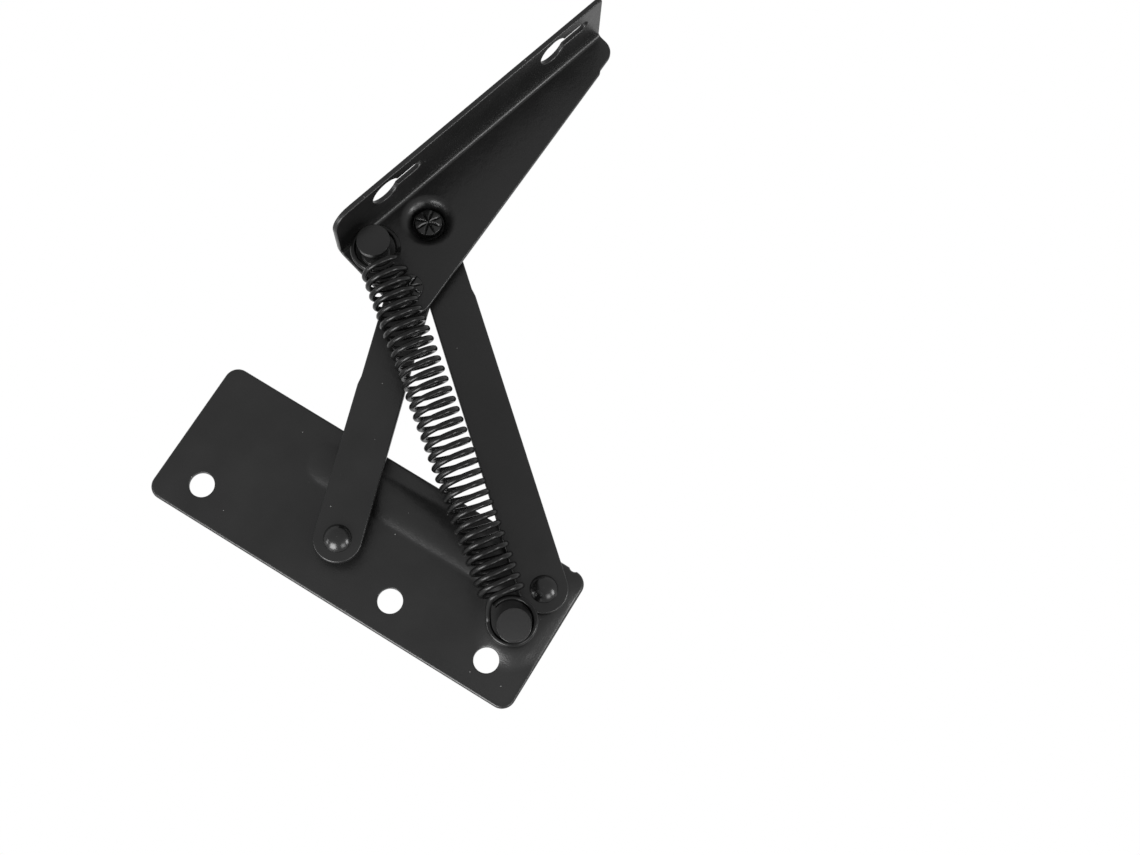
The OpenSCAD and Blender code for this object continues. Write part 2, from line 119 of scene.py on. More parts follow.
def node_centre(name: str) -> Vector:
    """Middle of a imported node's box."""
    low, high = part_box(name)
    return (Vector(low) + Vector(high)) / 2


def pivot_of(joint: str) -> Vector:
    """Place of a hinge joint's axis."""
    return Vector(next(j for j in frame["joints"] if j["name"] == joint)["pos_m"])


def add_node(tree: NodeTree, kind: str, inputs: dict[str | int, object], **settings: object) -> Node:
    """Adds a node to a material or to a Geometry Nodes tree.

    Args:
        tree: Tree that gets the node.
        kind: Node type.
        inputs: Value or output socket for each input, by name or place.
        settings: Node properties.

    Returns:
        The node.
    """
    node = tree.nodes.new(kind)
    for key, value in settings.items():
        setattr(node, key, value)
    for key, value in inputs.items():
        if isinstance(value, NodeSocket):
            tree.links.new(value, node.inputs[key])
        else:
            node.inputs[key].default_value = value
    return node


@dataclass(frozen=True)
class BlackPaint:
    """Black paint on steel, with orange peel, nibs of dust and a little unevenness.

    Attributes:
        name: Name of the material.
        shade: Colour of the paint, linear grey.
        shade_spread: Ratio of its palest shade to its mean one.
        rough: Mean roughness.
        rough_spread: How far the roughness wanders from its mean.
        specular: Level of its mirror-like reflection.
        drift_size: Size of a patch of one shade and roughness, in metres.
        peel_size: Size of an orange-peel cell, in metres.
        peel_depth: Height of the orange peel, in metres.
        flow_size: Size of the wider flow marks, in peel cells.
        flow_depth: Height of the flow marks, in heights of the peel.
        nib_share: Share of nib cells that hold a nib.
        nib_cell: Size of a nib cell, in metres.
        nib_top: Radius of a nib's flat top, in metres.
        nib_foot: Radius of a nib's foot, in metres.
        nib_depth: Height of a nib, in heights of the peel.
        nib_colour: Colour of a nib.
        noise_middle: Where most of a noise's values lie.
    """

    name: str
    shade: float = 0.005
    shade_spread: float = 1.25
    rough: float = 0.33
    rough_spread: float = 0.03
    specular: float = 0.28
    drift_size: float = 18 * MM
    peel_size: float = 0.5 * MM
    peel_depth: float = 0.04 * MM
    flow_size: float = 6.0
    flow_depth: float = 2.2
    nib_share: float = 0.14
    nib_cell: float = 4 * MM
    nib_top: float = 0.12 * MM
    nib_foot: float = 0.28 * MM
    nib_depth: float = 6.0
    nib_colour: tuple[float, float, float, float] = (0.14, 0.14, 0.137, 1.0)
    noise_middle: tuple[float, float] = (0.3, 0.7)

    def material(self) -> Material:
        """Builds the material's nodes.

        Returns:
            The finished material.
        """
        mat = bpy.data.materials.new(self.name)
        mat.use_nodes = True
        tree = mat.node_tree
        place = add_node(tree, "ShaderNodeTexCoord", {}).outputs["Object"]
        drift = self._noise(tree, place, self.drift_size, 2.0)
        nib = self._nibs(tree, place)
        shader = tree.nodes["Principled BSDF"]
        shader.inputs["Metallic"].default_value = 0.0
        shader.inputs["Specular IOR Level"].default_value = self.specular
        rough = self._range(tree, drift, self.rough - self.rough_spread,
                            self.rough + self.rough_spread)
        tree.links.new(rough, shader.inputs["Roughness"])
        shade = self._range(tree, drift, self.shade / self.shade_spread,
                            self.shade * self.shade_spread)
        tree.links.new(self._colour(tree, shade, nib), shader.inputs["Base Color"])

        peel = self._noise(tree, place, self.peel_size, 3.0)
        low = self._bump(tree, peel, self.peel_depth, None)
        flow = self._noise(tree, place, self.peel_size * self.flow_size, 2.0)
        mid = self._bump(tree, flow, self.peel_depth * self.flow_depth, low)
        top = self._bump(tree, nib, self.peel_depth * self.nib_depth, mid)
        tree.links.new(top, shader.inputs["Normal"])
        return mat

    @staticmethod
    def _noise(tree: NodeTree, place: NodeSocket, size: float, detail: float) -> NodeSocket:
        """Makes a noise.

        Args:
            tree: The material's tree.
            place: Object coordinates.
            size: Size of its cells, in metres.
            detail: How many finer layers it has.

        Returns:
            Values between 0 and 1.
        """
        return add_node(tree, "ShaderNodeTexNoise",
                        {"Scale": 1 / size, "Detail": detail, "Vector": place}).outputs["Fac"]

    def _range(self, tree: NodeTree, value: NodeSocket, low: float, high: float) -> NodeSocket:
        """Spreads the middle of a noise over a range of values.

        Args:
            tree: The material's tree.
            value: Noise between 0 and 1.
            low: Value where the noise is low.
            high: Value where it is high.

        Returns:
            The new value.
        """
        start, end = self.noise_middle
        return add_node(tree, "ShaderNodeMapRange", {
            "Value": value, "From Min": start, "From Max": end, "To Min": low, "To Max": high,
        }).outputs["Result"]

    def _nibs(self, tree: NodeTree, place: NodeSocket) -> NodeSocket:
        """Makes sparse round nibs of dust in the paint.

        Args:
            tree: The material's tree.
            place: Object coordinates.

        Returns:
            Height of the nibs, 1 on a nib's top.
        """
        cells = add_node(tree, "ShaderNodeTexVoronoi", {"Scale": 1 / self.nib_cell, "Vector": place})
        near = add_node(tree, "ShaderNodeMapRange", {
            "Value": cells.outputs["Distance"], "From Min": self.nib_top / self.nib_cell,
            "From Max": self.nib_foot / self.nib_cell, "To Min": 1.0, "To Max": 0.0})
        split = add_node(tree, "ShaderNodeSeparateColor", {"Color": cells.outputs["Color"]})
        pick = add_node(tree, "ShaderNodeMath", {0: split.outputs["Red"], 1: self.nib_share},
                        operation="LESS_THAN")
        return add_node(tree, "ShaderNodeMath", {0: near.outputs["Result"], 1: pick.outputs["Value"]},
                        operation="MULTIPLY").outputs["Value"]

    def _colour(self, tree: NodeTree, shade: NodeSocket, nib: NodeSocket) -> NodeSocket:
        """Joins the paint's shade and the paler nibs into one colour.

        Args:
            tree: The material's tree.
            shade: Shade of the paint.
            nib: Height of the nibs.

        Returns:
            The colour.
        """
        grey = add_node(tree, "ShaderNodeCombineColor", {"Red": shade, "Green": shade, "Blue": shade})
        return add_node(tree, "ShaderNodeMix", {
            "Factor": nib, "A": grey.outputs["Color"], "B": self.nib_colour,
        }, data_type="RGBA").outputs["Result"]

    @staticmethod
    def _bump(tree: NodeTree, height: NodeSocket, depth: float, under: NodeSocket | None) -> NodeSocket:
        """Raises the surface by a height map.

        Args:
            tree: The material's tree.
            height: Height between 0 and 1.
            depth: What a height of 1 stands for, in metres.
            under: Normal that it starts from, if it isn't the mesh's own.

        Returns:
            The new normal.
        """
        below = {} if under is None else {"Normal": under}
        return add_node(tree, "ShaderNodeBump", {
            "Strength": 1.0, "Distance": depth, "Height": height, **below}).outputs["Normal"]


@dataclass(frozen=True)
class Finishes:
    """The paint of each kind of piece.

    Attributes:
        plate: Paint of the base plate.
        link: Paint of the links.
        bracket: Paint of the bracket.
        hardware: Glossier paint of the rivets, the spacer and the studs.
        spring: Darker paint of the spring's wire, free of nibs.
    """

    plate: BlackPaint = BlackPaint("plate_black")
    link: BlackPaint = BlackPaint("link_black", nib_cell=3 * MM)
    bracket: BlackPaint = BlackPaint("bracket_black")
    hardware: BlackPaint = BlackPaint("hardware_black", rough=0.24, rough_spread=0.02,
                                      peel_depth=0.006 * MM)
    spring: BlackPaint = BlackPaint("spring_black", shade=0.003, rough=0.27, rough_spread=0.02,
                                    specular=0.18, nib_share=0.0,
                                    peel_size=0.8 * MM, peel_depth=0.002 * MM)

    def made(self) -> dict[Slot, Material]:
        """Makes every material, one for each slot."""
        paints = (self.plate, self.link, self.bracket, self.hardware, self.spring)
        return {slot: paint.material() for slot, paint in zip(Slot, paints)}


def merged_copy(node: str, flat: float = math.radians(0.4)) -> BMesh:
    """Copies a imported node's mesh and joins its loose triangles into flat faces.

    Args:
        node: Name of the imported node.
        flat: Edges that turn less than this are dissolved, in radians.

    Returns:
        The copy, to be edited.
    """
    bm = bmesh.new()
    bm.from_mesh(frame["nodes"][node].data)
    bmesh.ops.remove_doubles(bm, verts=bm.verts, dist=SAME_PLACE)
    bmesh.ops.dissolve_limit(bm, angle_limit=flat, verts=bm.verts, edges=bm.edges)
    bm.normal_update()
    return bm


def linked(name: str, mesh: Mesh) -> Object:
    """Links a mesh to the scene as an object at the origin.

    Args:
        name: Name of the object.
        mesh: Its mesh.

    Returns:
        The object.
    """
    piece = bpy.data.objects.new(name, mesh)
    bpy.context.collection.objects.link(piece)
    return piece


def new_piece(name: str, bm: BMesh) -> Object:
    """Turns an edited mesh into an object at the origin.

    Args:
        name: Name of the object.
        bm: Its mesh, which is freed.

    Returns:
        The object.
    """
    mesh = bpy.data.meshes.new(name)
    bm.to_mesh(mesh)
    bm.free()
    return linked(name, mesh)


def baked(piece: Object) -> Object:
    """Turns a piece's modifiers into plain mesh.

    Args:
        piece: Object with modifiers.

    Returns:
        The same object, with the evaluated mesh and no modifier.
    """
    bpy.context.view_layer.update()
    done = bpy.data.meshes.new_from_object(piece.evaluated_get(bpy.context.evaluated_depsgraph_get()))
    piece.modifiers.clear()
    piece.data = done
    done.name = piece.name
    return piece


def sealed(piece: Object, dist: float = SAME_PLACE) -> Object:
    """Merges a piece's doubled corners, closes it and turns its faces outwards.

    Args:
        piece: Object without modifiers.
        dist: Corners nearer than this are merged, in metres.

    Returns:
        The same object.
    """
    bm = bmesh.new()
    bm.from_mesh(piece.data)
    bmesh.ops.remove_doubles(bm, verts=bm.verts, dist=dist)
    open_edges = [edge for edge in bm.edges if len(edge.link_faces) == 1]
    if open_edges:
        bmesh.ops.contextual_create(bm, geom=open_edges)
    bmesh.ops.recalc_face_normals(bm, faces=bm.faces)
    bm.to_mesh(piece.data)
    bm.free()
    return piece


def smoothed(piece: Object, crease: float) -> Object:
    """Shades a piece smooth.

    Args:
        piece: Object without modifiers.
        crease: Edges that turn further than this stay crisp, in radians.

    Returns:
        The same object.
    """
    piece.data.shade_smooth()
    piece.data.set_sharp_from_angle(angle=crease)
    return piece


def levelled(piece: Object, keep_sharp: bool) -> Object:
    """Lets large flat faces set the normals of the roundings beside them.

    Args:
        piece: Object, with or without modifiers.
        keep_sharp: Whether crisp edges stay crisp.

    Returns:
        The same object, as plain mesh.
    """
    level = piece.modifiers.new("level", "WEIGHTED_NORMAL")
    level.keep_sharp = keep_sharp
    level.weight = FLAT_WEIGHT
    return baked(piece)


@dataclass
class Finisher:
    """Hands each finished piece to its body and gives it the material of its slot.

    Attributes:
        paints: Material of each slot.
    """

    paints: dict[Slot, Material]

    def dress(self, piece: Object, slot: Slot, nodes: Sequence[str], body: Body | None) -> None:
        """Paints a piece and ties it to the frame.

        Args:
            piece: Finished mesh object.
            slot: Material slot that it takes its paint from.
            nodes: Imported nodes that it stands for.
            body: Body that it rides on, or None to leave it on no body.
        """
        piece.data.materials.clear()
        piece.data.materials.append(self.paints[slot])
        if body is not None:
            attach(piece, body.value)
        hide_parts(*nodes)
        LOG.info("%s: %d faces", piece.name, len(piece.data.polygons))


@dataclass
class SoftDish:
    """Soft-edged dish in the front of a flat sheet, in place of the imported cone.

    Attributes:
        centre: Middle of the dish.
        floor_r: Radius of its flat floor, in metres.
        rim_r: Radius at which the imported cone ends, in metres.
        skirt: How far the soft edge reaches past the cone, in metres.
        rings: Rings of faces in the cone, and as many in the skirt.
        flare: How much steeper the slope is at the floor than a plain cone.
        steep: Least share of a slope's normal that points at the viewer.
        flat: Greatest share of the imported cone's normal that does.
    """

    centre: Vector
    floor_r: float = 5.4 * MM
    rim_r: float = 8.1 * MM
    skirt: float = 2.5 * MM
    rings: int = 5
    flare: float = 2.4
    steep: float = 0.25
    flat: float = 0.9

    def holds(self, edge: BMEdge) -> bool:
        """Tells whether an edge lies on the dish's soft slope.

        Args:
            edge: Edge of the sheet.

        Returns:
            True where it does.
        """
        return (all(face.normal.dot(FRONT) > self.steep for face in edge.link_faces)
                and all(self.floor_r < self._reach(vert.co) < self.rim_r + self.skirt + HAIR
                        for vert in edge.verts))

    def _reach(self, place: Vector) -> float:
        """Distance of a place from the dish's axis."""
        return math.hypot(place.x - self.centre.x, place.z - self.centre.z)

    def _inside(self, bm: BMesh, flat: float) -> list[BMFace]:
        """Finds the faces within the rim that point at the viewer.

        Args:
            bm: The sheet.
            flat: Limit of the share of a face's normal that does.

        Returns:
            The faces under that limit.
        """
        return [face for face in bm.faces
                if self.steep < face.normal.dot(FRONT) < flat
                and all(self._reach(vert.co) < self.rim_r + HAIR for vert in face.verts)]

    def soften(self, bm: BMesh) -> None:
        """Adds rings of faces to the cone and round it and lays them on a soft slope.

        Args:
            bm: The sheet.
        """
        cone = set(self._inside(bm, self.flat))
        slopes = [edge for edge in bm.edges if sum(face in cone for face in edge.link_faces) == 2]
        bmesh.ops.subdivide_edges(bm, edges=slopes, cuts=self.rings - 1, use_grid_fill=True)
        bm.normal_update()
        region = self._inside(bm, math.inf)
        for _ in range(self.rings):
            made = bmesh.ops.inset_region(bm, faces=region, use_boundary=True, use_outset=True,
                                          use_even_offset=True, thickness=self.skirt / self.rings)
            region += made["faces"]
        verts = {vert for face in region for vert in face.verts}
        top = max(-vert.co.y for vert in verts)
        floor = min(-vert.co.y for vert in verts)
        for vert in verts:
            share = (self._reach(vert.co) - self.floor_r) / (self.rim_r + self.skirt - self.floor_r)
            share = min(max(share, 0.0), 1.0)
            vert.co.y = -(floor + (top - floor) * (1 - (1 - share) ** self.flare))
        bm.normal_update()


@dataclass
class SoftenedSolid:
    """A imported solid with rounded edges.

    Attributes:
        node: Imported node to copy.
        slot: Material slot.
        body: Body that the node rides on.
        edge: Radius of a cut edge, in metres.
        press: Radius of an edge between a flat face and a pressed slope, in metres.
        thick: Thickness of the sheet, in metres.
        through: How near to that thickness the length of an edge through the sheet is.
        corner: Radius of such an edge, in metres.
        dish: Dish to soften, if the sheet has one.
        bores: Middles of rivet holes, whose edges a head hides.
        bore_reach: How far from a bore's middle an edge counts as the bore's, in metres.
        clamp: Whether roundings shrink where they would meet.
        steps: Segments in each rounded edge.
        sharp: Edges that turn less than this are left alone, in radians.
        slope: Least and greatest share of a pressed slope's normal that points at the viewer.
    """

    node: str
    slot: Slot
    body: Body
    edge: float
    press: float
    thick: float = 2.5 * MM
    through: float = 0.03 * MM
    corner: float = 0.12 * MM
    dish: SoftDish | None = None
    bores: tuple[Vector, ...] = ()
    bore_reach: float = 5.2 * MM
    clamp: bool = True
    steps: int = 3
    sharp: float = math.radians(20)
    slope: tuple[float, float] = (0.25, 0.9)

    def _radius(self, edge: BMEdge) -> float:
        """Finds the radius that an edge gets, from its place and the faces that it joins.

        Args:
            edge: Edge of the copied solid.

        Returns:
            Its radius, 0 where it isn't rounded.
        """
        if len(edge.link_faces) != 2 or edge.calc_face_angle(0.0) < self.sharp:
            return 0.0
        if self.dish is not None and self.dish.holds(edge):
            return 0.0
        middle = (edge.verts[0].co + edge.verts[1].co) / 2
        in_bore = any(math.hypot(middle.x - bore.x, middle.z - bore.z) < self.bore_reach
                      for bore in self.bores)
        if in_bore or abs(edge.calc_length() - self.thick) < self.through:
            return self.corner
        steep, flat = sorted(abs(face.normal.dot(FRONT)) for face in edge.link_faces)
        return self.press if self.slope[0] < steep < self.slope[1] < flat else self.edge

    def build(self, finisher: Finisher) -> None:
        """Copies the node, rounds its edges and dresses it.

        Args:
            finisher: Dresses the piece.
        """
        bm = merged_copy(self.node)
        if self.dish is not None:
            self.dish.soften(bm)
        widest = max(self.edge, self.press)
        weight = bm.edges.layers.float.new("bevel_weight_edge")
        for edge in bm.edges:
            edge[weight] = self._radius(edge) / widest
        piece = new_piece(f"{self.node}_painted", bm)
        round_off = piece.modifiers.new("round_off", "BEVEL")
        round_off.width = widest
        round_off.segments = self.steps
        round_off.limit_method = "WEIGHT"
        round_off.miter_outer = "MITER_ARC"
        round_off.use_clamp_overlap = self.clamp
        piece.data.shade_smooth()
        piece.modifiers.new("weld", "WELD").merge_threshold = 10 * SAME_PLACE
        finisher.dress(levelled(piece, False), self.slot, [self.node], self.body)


@dataclass
class RoundedBar:
    """A packed flat bar whose cut edges are rounded on both faces.

    Attributes:
        node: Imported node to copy.
        body: Body that the node rides on.
        edge: Radius of a cut edge, in metres.
        steps: Faces in each rounding.
        crease: Edges that turn further than this stay crisp, in radians.
        flat: Least share of a flat face's normal that points straight out.
    """

    node: str
    body: Body
    edge: float = 0.6 * MM
    steps: int = 4
    crease: float = math.radians(40)
    flat: float = 0.99

    def _round(self, bm: BMesh, out: Vector) -> None:
        """Rounds the outline of one face of the bar.

        Args:
            bm: The bar.
            out: Normal of the face.
        """
        faces = [face for face in bm.faces if face.normal.dot(out) > self.flat]
        corners = list({vert for face in faces for vert in face.verts})
        bmesh.ops.translate(bm, verts=corners, vec=-out * self.edge)
        turns = [math.pi / 2 * k / self.steps for k in range(self.steps + 1)]
        for low, high in zip(turns, turns[1:]):
            bmesh.ops.inset_region(bm, faces=faces, use_boundary=True, use_even_offset=True,
                                   thickness=self.edge * (math.cos(low) - math.cos(high)),
                                   depth=self.edge * (math.sin(high) - math.sin(low)))

    def build(self, finisher: Finisher) -> None:
        """Copies the bar, rounds its edges and dresses it.

        Args:
            finisher: Dresses the piece.
        """
        bm = merged_copy(self.node)
        for out in (FRONT, -FRONT):
            self._round(bm, out)
        piece = smoothed(new_piece(f"{self.node}_painted", bm), self.crease)
        finisher.dress(levelled(piece, True), Slot.LINK, [self.node], self.body)


def capsule_depth(points: np.ndarray, a: Sequence[float], b: Sequence[float],
                  radius: float) -> np.ndarray:
    """How deep points lie inside a capsule.

    Args:
        points: Places in plan, one a row.
        a: One end of the capsule's axis.
        b: The other end.
        radius: Its radius.

    Returns:
        Depth of each point, negative outside.
    """
    a, b = np.asarray(a), np.asarray(b)
    along = np.clip(((points - a) @ (b - a)) / ((b - a) @ (b - a)), 0, 1)
    return radius - np.linalg.norm(points - a - along[:, None] * (b - a), axis=1)


def eased(value: np.ndarray) -> np.ndarray:
    """Smooth step from 0 to 1."""
    value = np.clip(value, 0, 1)
    return value * value * (3 - 2 * value)


def stepped_in(loop: np.ndarray, inset: float) -> np.ndarray:
    """Moves a loop towards the sheet, which lies on its left.

    Args:
        loop: Corners in plan, one a row.
        inset: How far every side moves.

    Returns:
        The moved corners.
    """
    ahead = np.roll(loop, -1, axis=0) - loop
    ahead /= np.linalg.norm(ahead, axis=1)[:, None]
    behind = np.roll(ahead, 1, axis=0)
    normal = np.stack([-(ahead + behind)[:, 1], (ahead + behind)[:, 0]], axis=1)
    normal /= np.linalg.norm(normal, axis=1)[:, None]
    share = np.sum(normal * np.stack([-ahead[:, 1], ahead[:, 0]], axis=1), axis=1)
    return loop + normal * (inset / np.maximum(share, 0.5))[:, None]


@dataclass
class PressedPlate:
    """Base plate: a sheet with rounded edges, holes and a soft pressed ridge.

    Places are in the plane of the plate, x and z, and sizes are in metres.

    Attributes:
        thick: Thickness of the sheet.
        corner_r: Radius of its corners in plan.
        screw_r: Radius of a screw hole.
        screw_pitch: Distance between the outer screw holes.
        screw_mid_pitch: Distance from the middle screw hole to the right one.
        shank_r: Radius of the holes for the rivets and the stud.
        nick_in: How far the nick's middle lies from the right side.
        nick_w: Width of the nick at the top edge.
        nick_h: Depth of the nick.
        ridge_h: Height of the pads, the highest part of the ridge.
        ridge_r: Half the width of the ridge.
        ridge_in: How far the ridge's end lies from the left side.
        pad_r: Radius of the pads under the pivot and the stud.
        hollow_inset: How much narrower the hollow behind the ridge is, on each side.
        ridge_flank: Width of the ridge's slope.
        ridge_share: Height of the ridge beside the pads, in heights of the pads.
        pad_flank: Width of the slope round the pads.
        pad_skirt: How far that slope's soft foot reaches out.
        pad_from: How far left of the stud the pads' slope starts to take over.
        pad_fade: Length over which it takes over.
        blend: How softly the ridge and the pads run together.
        edge_r: Radius of the rounded outer edge.
        hole_edge_r: Radius of a hole's rounded edge.
        grid: Distance between the points of a face.
        clear: How far those points keep from an edge's points, in grid steps.
        shortest: Sides of the outline up to this long are dropped, in grid steps.
        merge: Corners nearer than this are merged.
        arc_steps: Faces in each rounded edge.
        corner_steps: Sides of each corner in plan.
        nick_steps: Sides of the nick.
        hole_steps: Sides of each hole.
    """

    thick: float = 2 * MM
    corner_r: float = 5 * MM
    screw_r: float = 4.5 * MM
    screw_pitch: float = 118.5 * MM
    screw_mid_pitch: float = 39.5 * MM
    shank_r: float = 3.05 * MM
    nick_in: float = 6.6 * MM
    nick_w: float = 3 * MM
    nick_h: float = 0.7 * MM
    ridge_h: float = 2.5 * MM
    ridge_r: float = 7.75 * MM
    ridge_in: float = 42 * MM
    pad_r: float = 9 * MM
    hollow_inset: float = 1.2 * MM
    ridge_flank: float = 7.0 * MM
    ridge_share: float = 0.6
    pad_flank: float = 3.4 * MM
    pad_skirt: float = 6.0 * MM
    pad_from: float = 22 * MM
    pad_fade: float = 14 * MM
    blend: float = 1.5 * MM
    edge_r: float = 0.95 * MM
    hole_edge_r: float = 0.3 * MM
    grid: float = 0.8 * MM
    clear: float = 0.75
    shortest: float = 0.25
    merge: float = 0.002 * MM
    arc_steps: int = 4
    corner_steps: int = 12
    nick_steps: int = 6
    hole_steps: int = 48

    def __post_init__(self) -> None:
        """Takes the plate's box and pivots from the frame."""
        low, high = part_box("base_plate")
        self.left, self.right = low[0], high[0]
        self.bottom, self.top = low[2], high[2]
        pivot, stud = pivot_of("long_link_pivot"), node_centre("lower_spring_stud")
        start = pivot_of("short_link_pivot")
        self.pivot = (pivot.x, pivot.z)
        self.stud = (stud.x, stud.z)
        self.short_pivot = (start.x, start.z)
        self.ridge_z = pivot.z - self.pad_r + self.ridge_r

    def _outline(self) -> np.ndarray:
        """Draws the outer outline, with its round corners and the nick.

        Returns:
            Its corners, counter-clockwise.
        """
        r, steps = self.corner_r, self.corner_steps
        left, right = self.left + r, self.right - r
        bottom, top = self.bottom + r, self.top - r
        nick_r = (self.nick_w ** 2 / 4 + self.nick_h ** 2) / (2 * self.nick_h)
        nick = (self.right - self.nick_in, self.top + nick_r - self.nick_h)
        half = math.degrees(math.asin(self.nick_w / 2 / nick_r))
        points = self._arc((right, bottom), r, -90, 0, steps)
        points += self._arc((right, top), r, 0, 90, steps)
        points += self._arc(nick, nick_r, half - 90, -half - 90, self.nick_steps)
        points += self._arc((left, top), r, 90, 180, steps)
        points += self._arc((left, bottom), r, 180, 270, steps)
        return self._filled(np.array(points))

    @staticmethod
    def _arc(centre: Sequence[float], r: float, start: float, end: float,
             steps: int) -> list[tuple[float, float]]:
        """Draws an arc.

        Args:
            centre: Its middle, in plan.
            r: Its radius.
            start: Angle of its first point, in degrees.
            end: Angle of its last point, in degrees.
            steps: Number of its sides.

        Returns:
            Its points, both ends among them.
        """
        angles = (math.radians(start + (end - start) * k / steps) for k in range(steps + 1))
        return [(centre[0] + r * math.cos(a), centre[1] + r * math.sin(a)) for a in angles]

    def _filled(self, loop: np.ndarray) -> np.ndarray:
        """Adds points to the long sides of a loop and drops its shortest sides.

        Args:
            loop: Corners in plan, one a row.

        Returns:
            The new corners.
        """
        points = []
        sides = np.linalg.norm(np.roll(loop, -1, axis=0) - loop, axis=1)
        loop = loop[sides > self.shortest * self.grid]
        for here, there in zip(loop, np.roll(loop, -1, axis=0)):
            count = max(1, round(np.linalg.norm(there - here) / self.grid))
            points += [here + (there - here) * k / count for k in range(count)]
        return np.array(points)

    def _holes(self) -> list[np.ndarray]:
        """Draws the holes.

        Returns:
            Corners of each hole, clockwise.
        """
        half = self.screw_pitch / 2
        rows = [((x, 0.0), self.screw_r) for x in (-half, half - self.screw_mid_pitch, half)]
        rows += [(place, self.shank_r) for place in (self.pivot, self.stud, self.short_pivot)]
        return [np.array(self._arc(place, r, 360, 0, self.hole_steps)[:-1]) for place, r in rows]

    def _rise(self, points: np.ndarray, inset: float) -> np.ndarray:
        """Works out the height of the pressed ridge.

        Args:
            points: Places in plan.
            inset: How much narrower the ridge is, as on its hollow side.

        Returns:
            Height over each place.
        """
        start = (self.left + self.ridge_in + self.ridge_r, self.ridge_z)
        ridge = capsule_depth(points, start, (self.pivot[0], self.ridge_z), self.ridge_r)
        pads = capsule_depth(points, self.pivot, self.stud, self.pad_r)
        depth = self.blend * np.log(np.exp(ridge / self.blend) + np.exp(pads / self.blend)) - inset
        near_pads = eased((points[:, 0] - self.stud[0] + self.pad_from) / self.pad_fade)
        flank = self.ridge_flank + (self.pad_flank - self.ridge_flank) * near_pads
        share = np.clip(depth / flank, 0, 1)
        creased = self.ridge_share * (1 - (1 - share) ** 2)
        soft = eased((depth + self.pad_skirt) / (flank + self.pad_skirt))
        return self.ridge_h * (creased + (soft - creased) * near_pads)

    def _inside(self, points: np.ndarray, loops: list[np.ndarray]) -> np.ndarray:
        """Tells which places lie on the sheet.

        Args:
            points: Places in plan.
            loops: Outline of the sheet, then those of its holes.

        Returns:
            True for each place inside the first loop and outside the others.
        """
        odd = np.zeros(len(points), dtype=bool)
        for loop in loops:
            for (ax, az), (bx, bz) in zip(loop, np.roll(loop, -1, axis=0)):
                if az == bz:
                    continue
                across = (points[:, 1] > min(az, bz)) & (points[:, 1] <= max(az, bz))
                odd ^= across & (points[:, 0] < ax + (points[:, 1] - az) * (bx - ax) / (bz - az))
        return odd

    def _inner_points(self, loops: list[np.ndarray]) -> np.ndarray:
        """Lays a grid of points on the sheet, clear of its edges.

        Args:
            loops: Outline of the sheet, then those of its holes.

        Returns:
            Places in plan.
        """
        xs = np.arange(self.left, self.right, self.grid)
        zs = np.arange(self.bottom, self.top, self.grid)
        points = np.array([(x + (row % 2) * self.grid / 2, z)
                           for row, z in enumerate(zs) for x in xs])
        keep = self._inside(points, loops)
        for loop in loops:
            for middle in (loop + np.roll(loop, -1, axis=0)) / 2:
                keep &= np.linalg.norm(points - middle, axis=1) >= self.clear * self.grid
        return points[keep]

    def _plan(self, loops: list[np.ndarray]) -> tuple[np.ndarray, np.ndarray]:
        """Divides the sheet into triangles.

        Args:
            loops: Outline of the sheet, then those of its holes.

        Returns:
            Places in plan, and the three corners of each triangle.
        """
        places = np.concatenate([*loops, self._inner_points(loops)])
        edges, first = [], 0
        for loop in loops:
            count = len(loop)
            edges += [(first + k, first + (k + 1) % count) for k in range(count)]
            first += count
        whole_hull, same = 0, 1e-9
        found = delaunay_2d_cdt([Vector(p) for p in places], edges, [], whole_hull, same)
        plan = np.array([tuple(p) for p in found[0]])
        faces = np.array([tuple(f) for f in found[2]])
        return plan, faces[self._inside(plan[faces].mean(axis=1), loops)]

    def _rows(self, loop: np.ndarray, r: float) -> list[tuple[np.ndarray, float, float]]:
        """Draws the loops of a rounded cut edge, from the front face to the back.

        Args:
            loop: Outline of the cut, in plan.
            r: Radius of its rounding.

        Returns:
            For each loop its places, 1 on the front's rounding or 0 on the back's, and how
            far behind that face it lies.
        """
        turns = [math.pi / 2 * k / self.arc_steps for k in range(self.arc_steps + 1)]
        rows = [(stepped_in(loop, r * (1 - math.sin(a))), 1.0, r * (1 - math.cos(a))) for a in turns]
        return rows + [(places, 0.0, -drop) for places, _, drop in reversed(rows)]

    def _lifted(self, places: np.ndarray, inset: float,
                level: float) -> list[tuple[float, float, float]]:
        """Puts places in plan on a face of the plate.

        Args:
            places: Places in plan.
            inset: How much narrower the ridge is on that face.
            level: Height of the face beside the ridge.

        Returns:
            The points in space.
        """
        return [(x, -h, z) for (x, z), h in zip(places, self._rise(places, inset) + level)]

